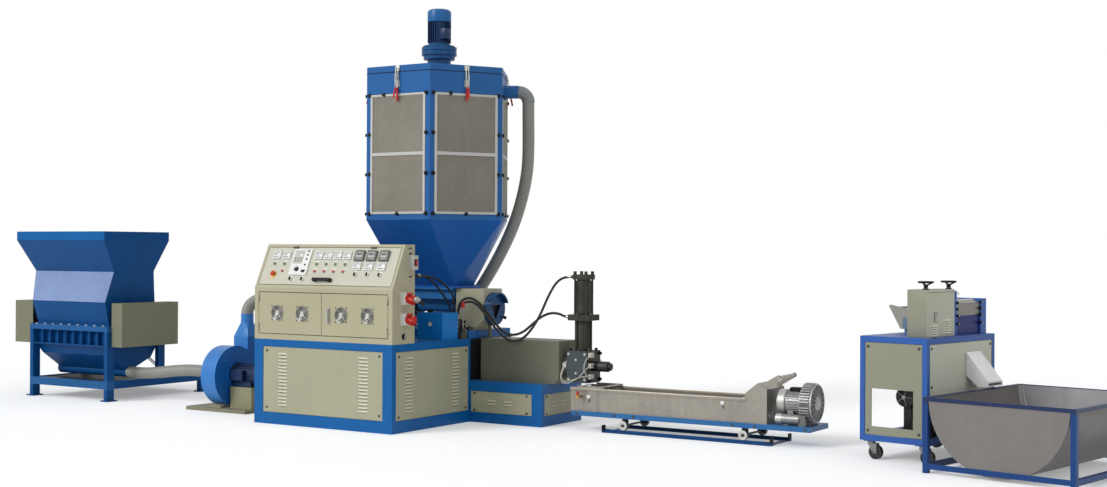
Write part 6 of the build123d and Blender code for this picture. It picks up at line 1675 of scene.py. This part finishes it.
        # The head louvres' lips are painted paler still, a painted highlight.
        louvres(
            "head_louvres", rows, 0.1, 0.013, 0.01, replace(LIT_LOUVRE, name="head_lip_highlight", colour=(0.75, 0.74, 0.6)), STATION)
        screws = grid((-0.505, -0.07), (0.004,), (0.225, 0.868), FRONT)
        screws += grid((-0.004,), (0.075, 1.0), (0.58, 0.868), RIGHT)
        bolts("cutter_screws", screws, "line", SCREW, 0.008, 0.006, 0.012, place=STATION)
        d = Maker("cutter_drive", STATION)
        u, z = self.drive
        d.lathe(
            ((0.018, 0.0), (0.018, 0.012), (0.062, 0.014), (0.078, 0.006), (0.078, 0.04), (0.03, 0.05), (0, 0.05)),
            (u, 0.3, z), FRONT, DARK, 32)
        for k in range(5):
            a = 2 * pi * k / 5
            d.wire([(u + r * cos(a), 0.249, z + r * sin(a)) for r in (0.02, 0.07)], 0.006, DULL_STEEL, 6)
        d.rod((u, 0.24, z), (u, 0.36, z), 0.016, PALE_STEEL, 14)
        d.block((-0.375, 0.31, 0.154), (-0.295, 0.345, 0.53), DARK, 0.004)
        d.wire(((-0.3, 0.3, 0.4), (-0.27, 0.26, 0.3), (-0.3, 0.22, 0.2), (-0.38, 0.2, 0.162)), 0.006, BLACK, 6)
        d.save("line", "dark_steel")
        for side in ("left", "right"):
            low, high = (Vector(c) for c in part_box(f"caster_wheel_{side}"))
            middle = (low + high) / 2
            axis = STATION.to_3x3() @ Vector(RIGHT)
            hub = Maker(f"caster_hub_{side}")
            for way in (-1, 1):
                hub.lathe(
                    ((0.03, 0.0), (0.028, 0.004), (0.012, 0.005), (0, 0.005)), tuple(middle + axis * way * 0.014),
                    tuple(axis * way), DULL_STEEL, 24)
            hub.save(f"wheel_{side}", "steel")


@dataclass
class PelletBin:
    """The half-round stainless bin in its angle frame."""

    centre: tuple[float, float] = (0.704, 0.541)
    radius: float = 0.516

    def dress(self) -> None:
        """Paints the bin and its frame."""
        pale = (0.4, 0.4, 0.41)
        far = Zone((0.1, 1.1, 0.0), (1.3, 1.25, 0.6), pale, 0.45, 0.2, place=Place.STATION)
        inner = Zone((0.75, -0.28, 0.0), (1.3, 1.2, 0.6), pale, 0.45, 0.2, facing=LEFT, place=Place.STATION)
        dress(
            STEEL, "bin_tank", name="bin_steel", zones=(far, inner), colour=(0.2, 0.186, 0.178), roughness=0.5,
            metallic=0.25, marks=0.25, drift=0.1, drift_scale=1.2, dust=0.0)
        rim = Zone((0.1, -0.34, 0.51), (1.3, 1.25, 0.6), (0.02, 0.035, 0.1), 0.3, place=Place.STATION)
        dress(BLUE, "bin_frame", name="bin_frame_paint", colour=(0.012, 0.055, 0.2), zones=(rim,))

    def build(self) -> None:
        """Adds the weld seam on the end sheet."""
        m = Maker("bin_welds", STATION)
        u, z = self.centre
        points = [(u + self.radius * cos(a), 1.186, z + self.radius * sin(a)) for a in spread(pi, 2 * pi, 33)]
        m.wire(points, 0.004, PALE_STEEL, 6)
        m.save("line", "steel")


def main() -> None:
    """Builds the line's stations in order."""
    logging.basicConfig(level=logging.INFO, format="%(name)s: %(message)s")
    stage = Stage()
    stage.camera()
    Hoses().build()
    stage.floor()
    stage.light()
    stations = (ExtruderBase(), ControlDesk(), HydraulicUnit(), FirstStage(), ScreenChanger(), Silo(), Crusher(),
                TransportFan(), CoolingTrough(), StrandCutter(), PelletBin())
    for station in stations:
        station.dress()
        station.build()
    bpy.context.scene.view_settings.view_transform = "Standard"


if __name__ == "__main__":
    main()
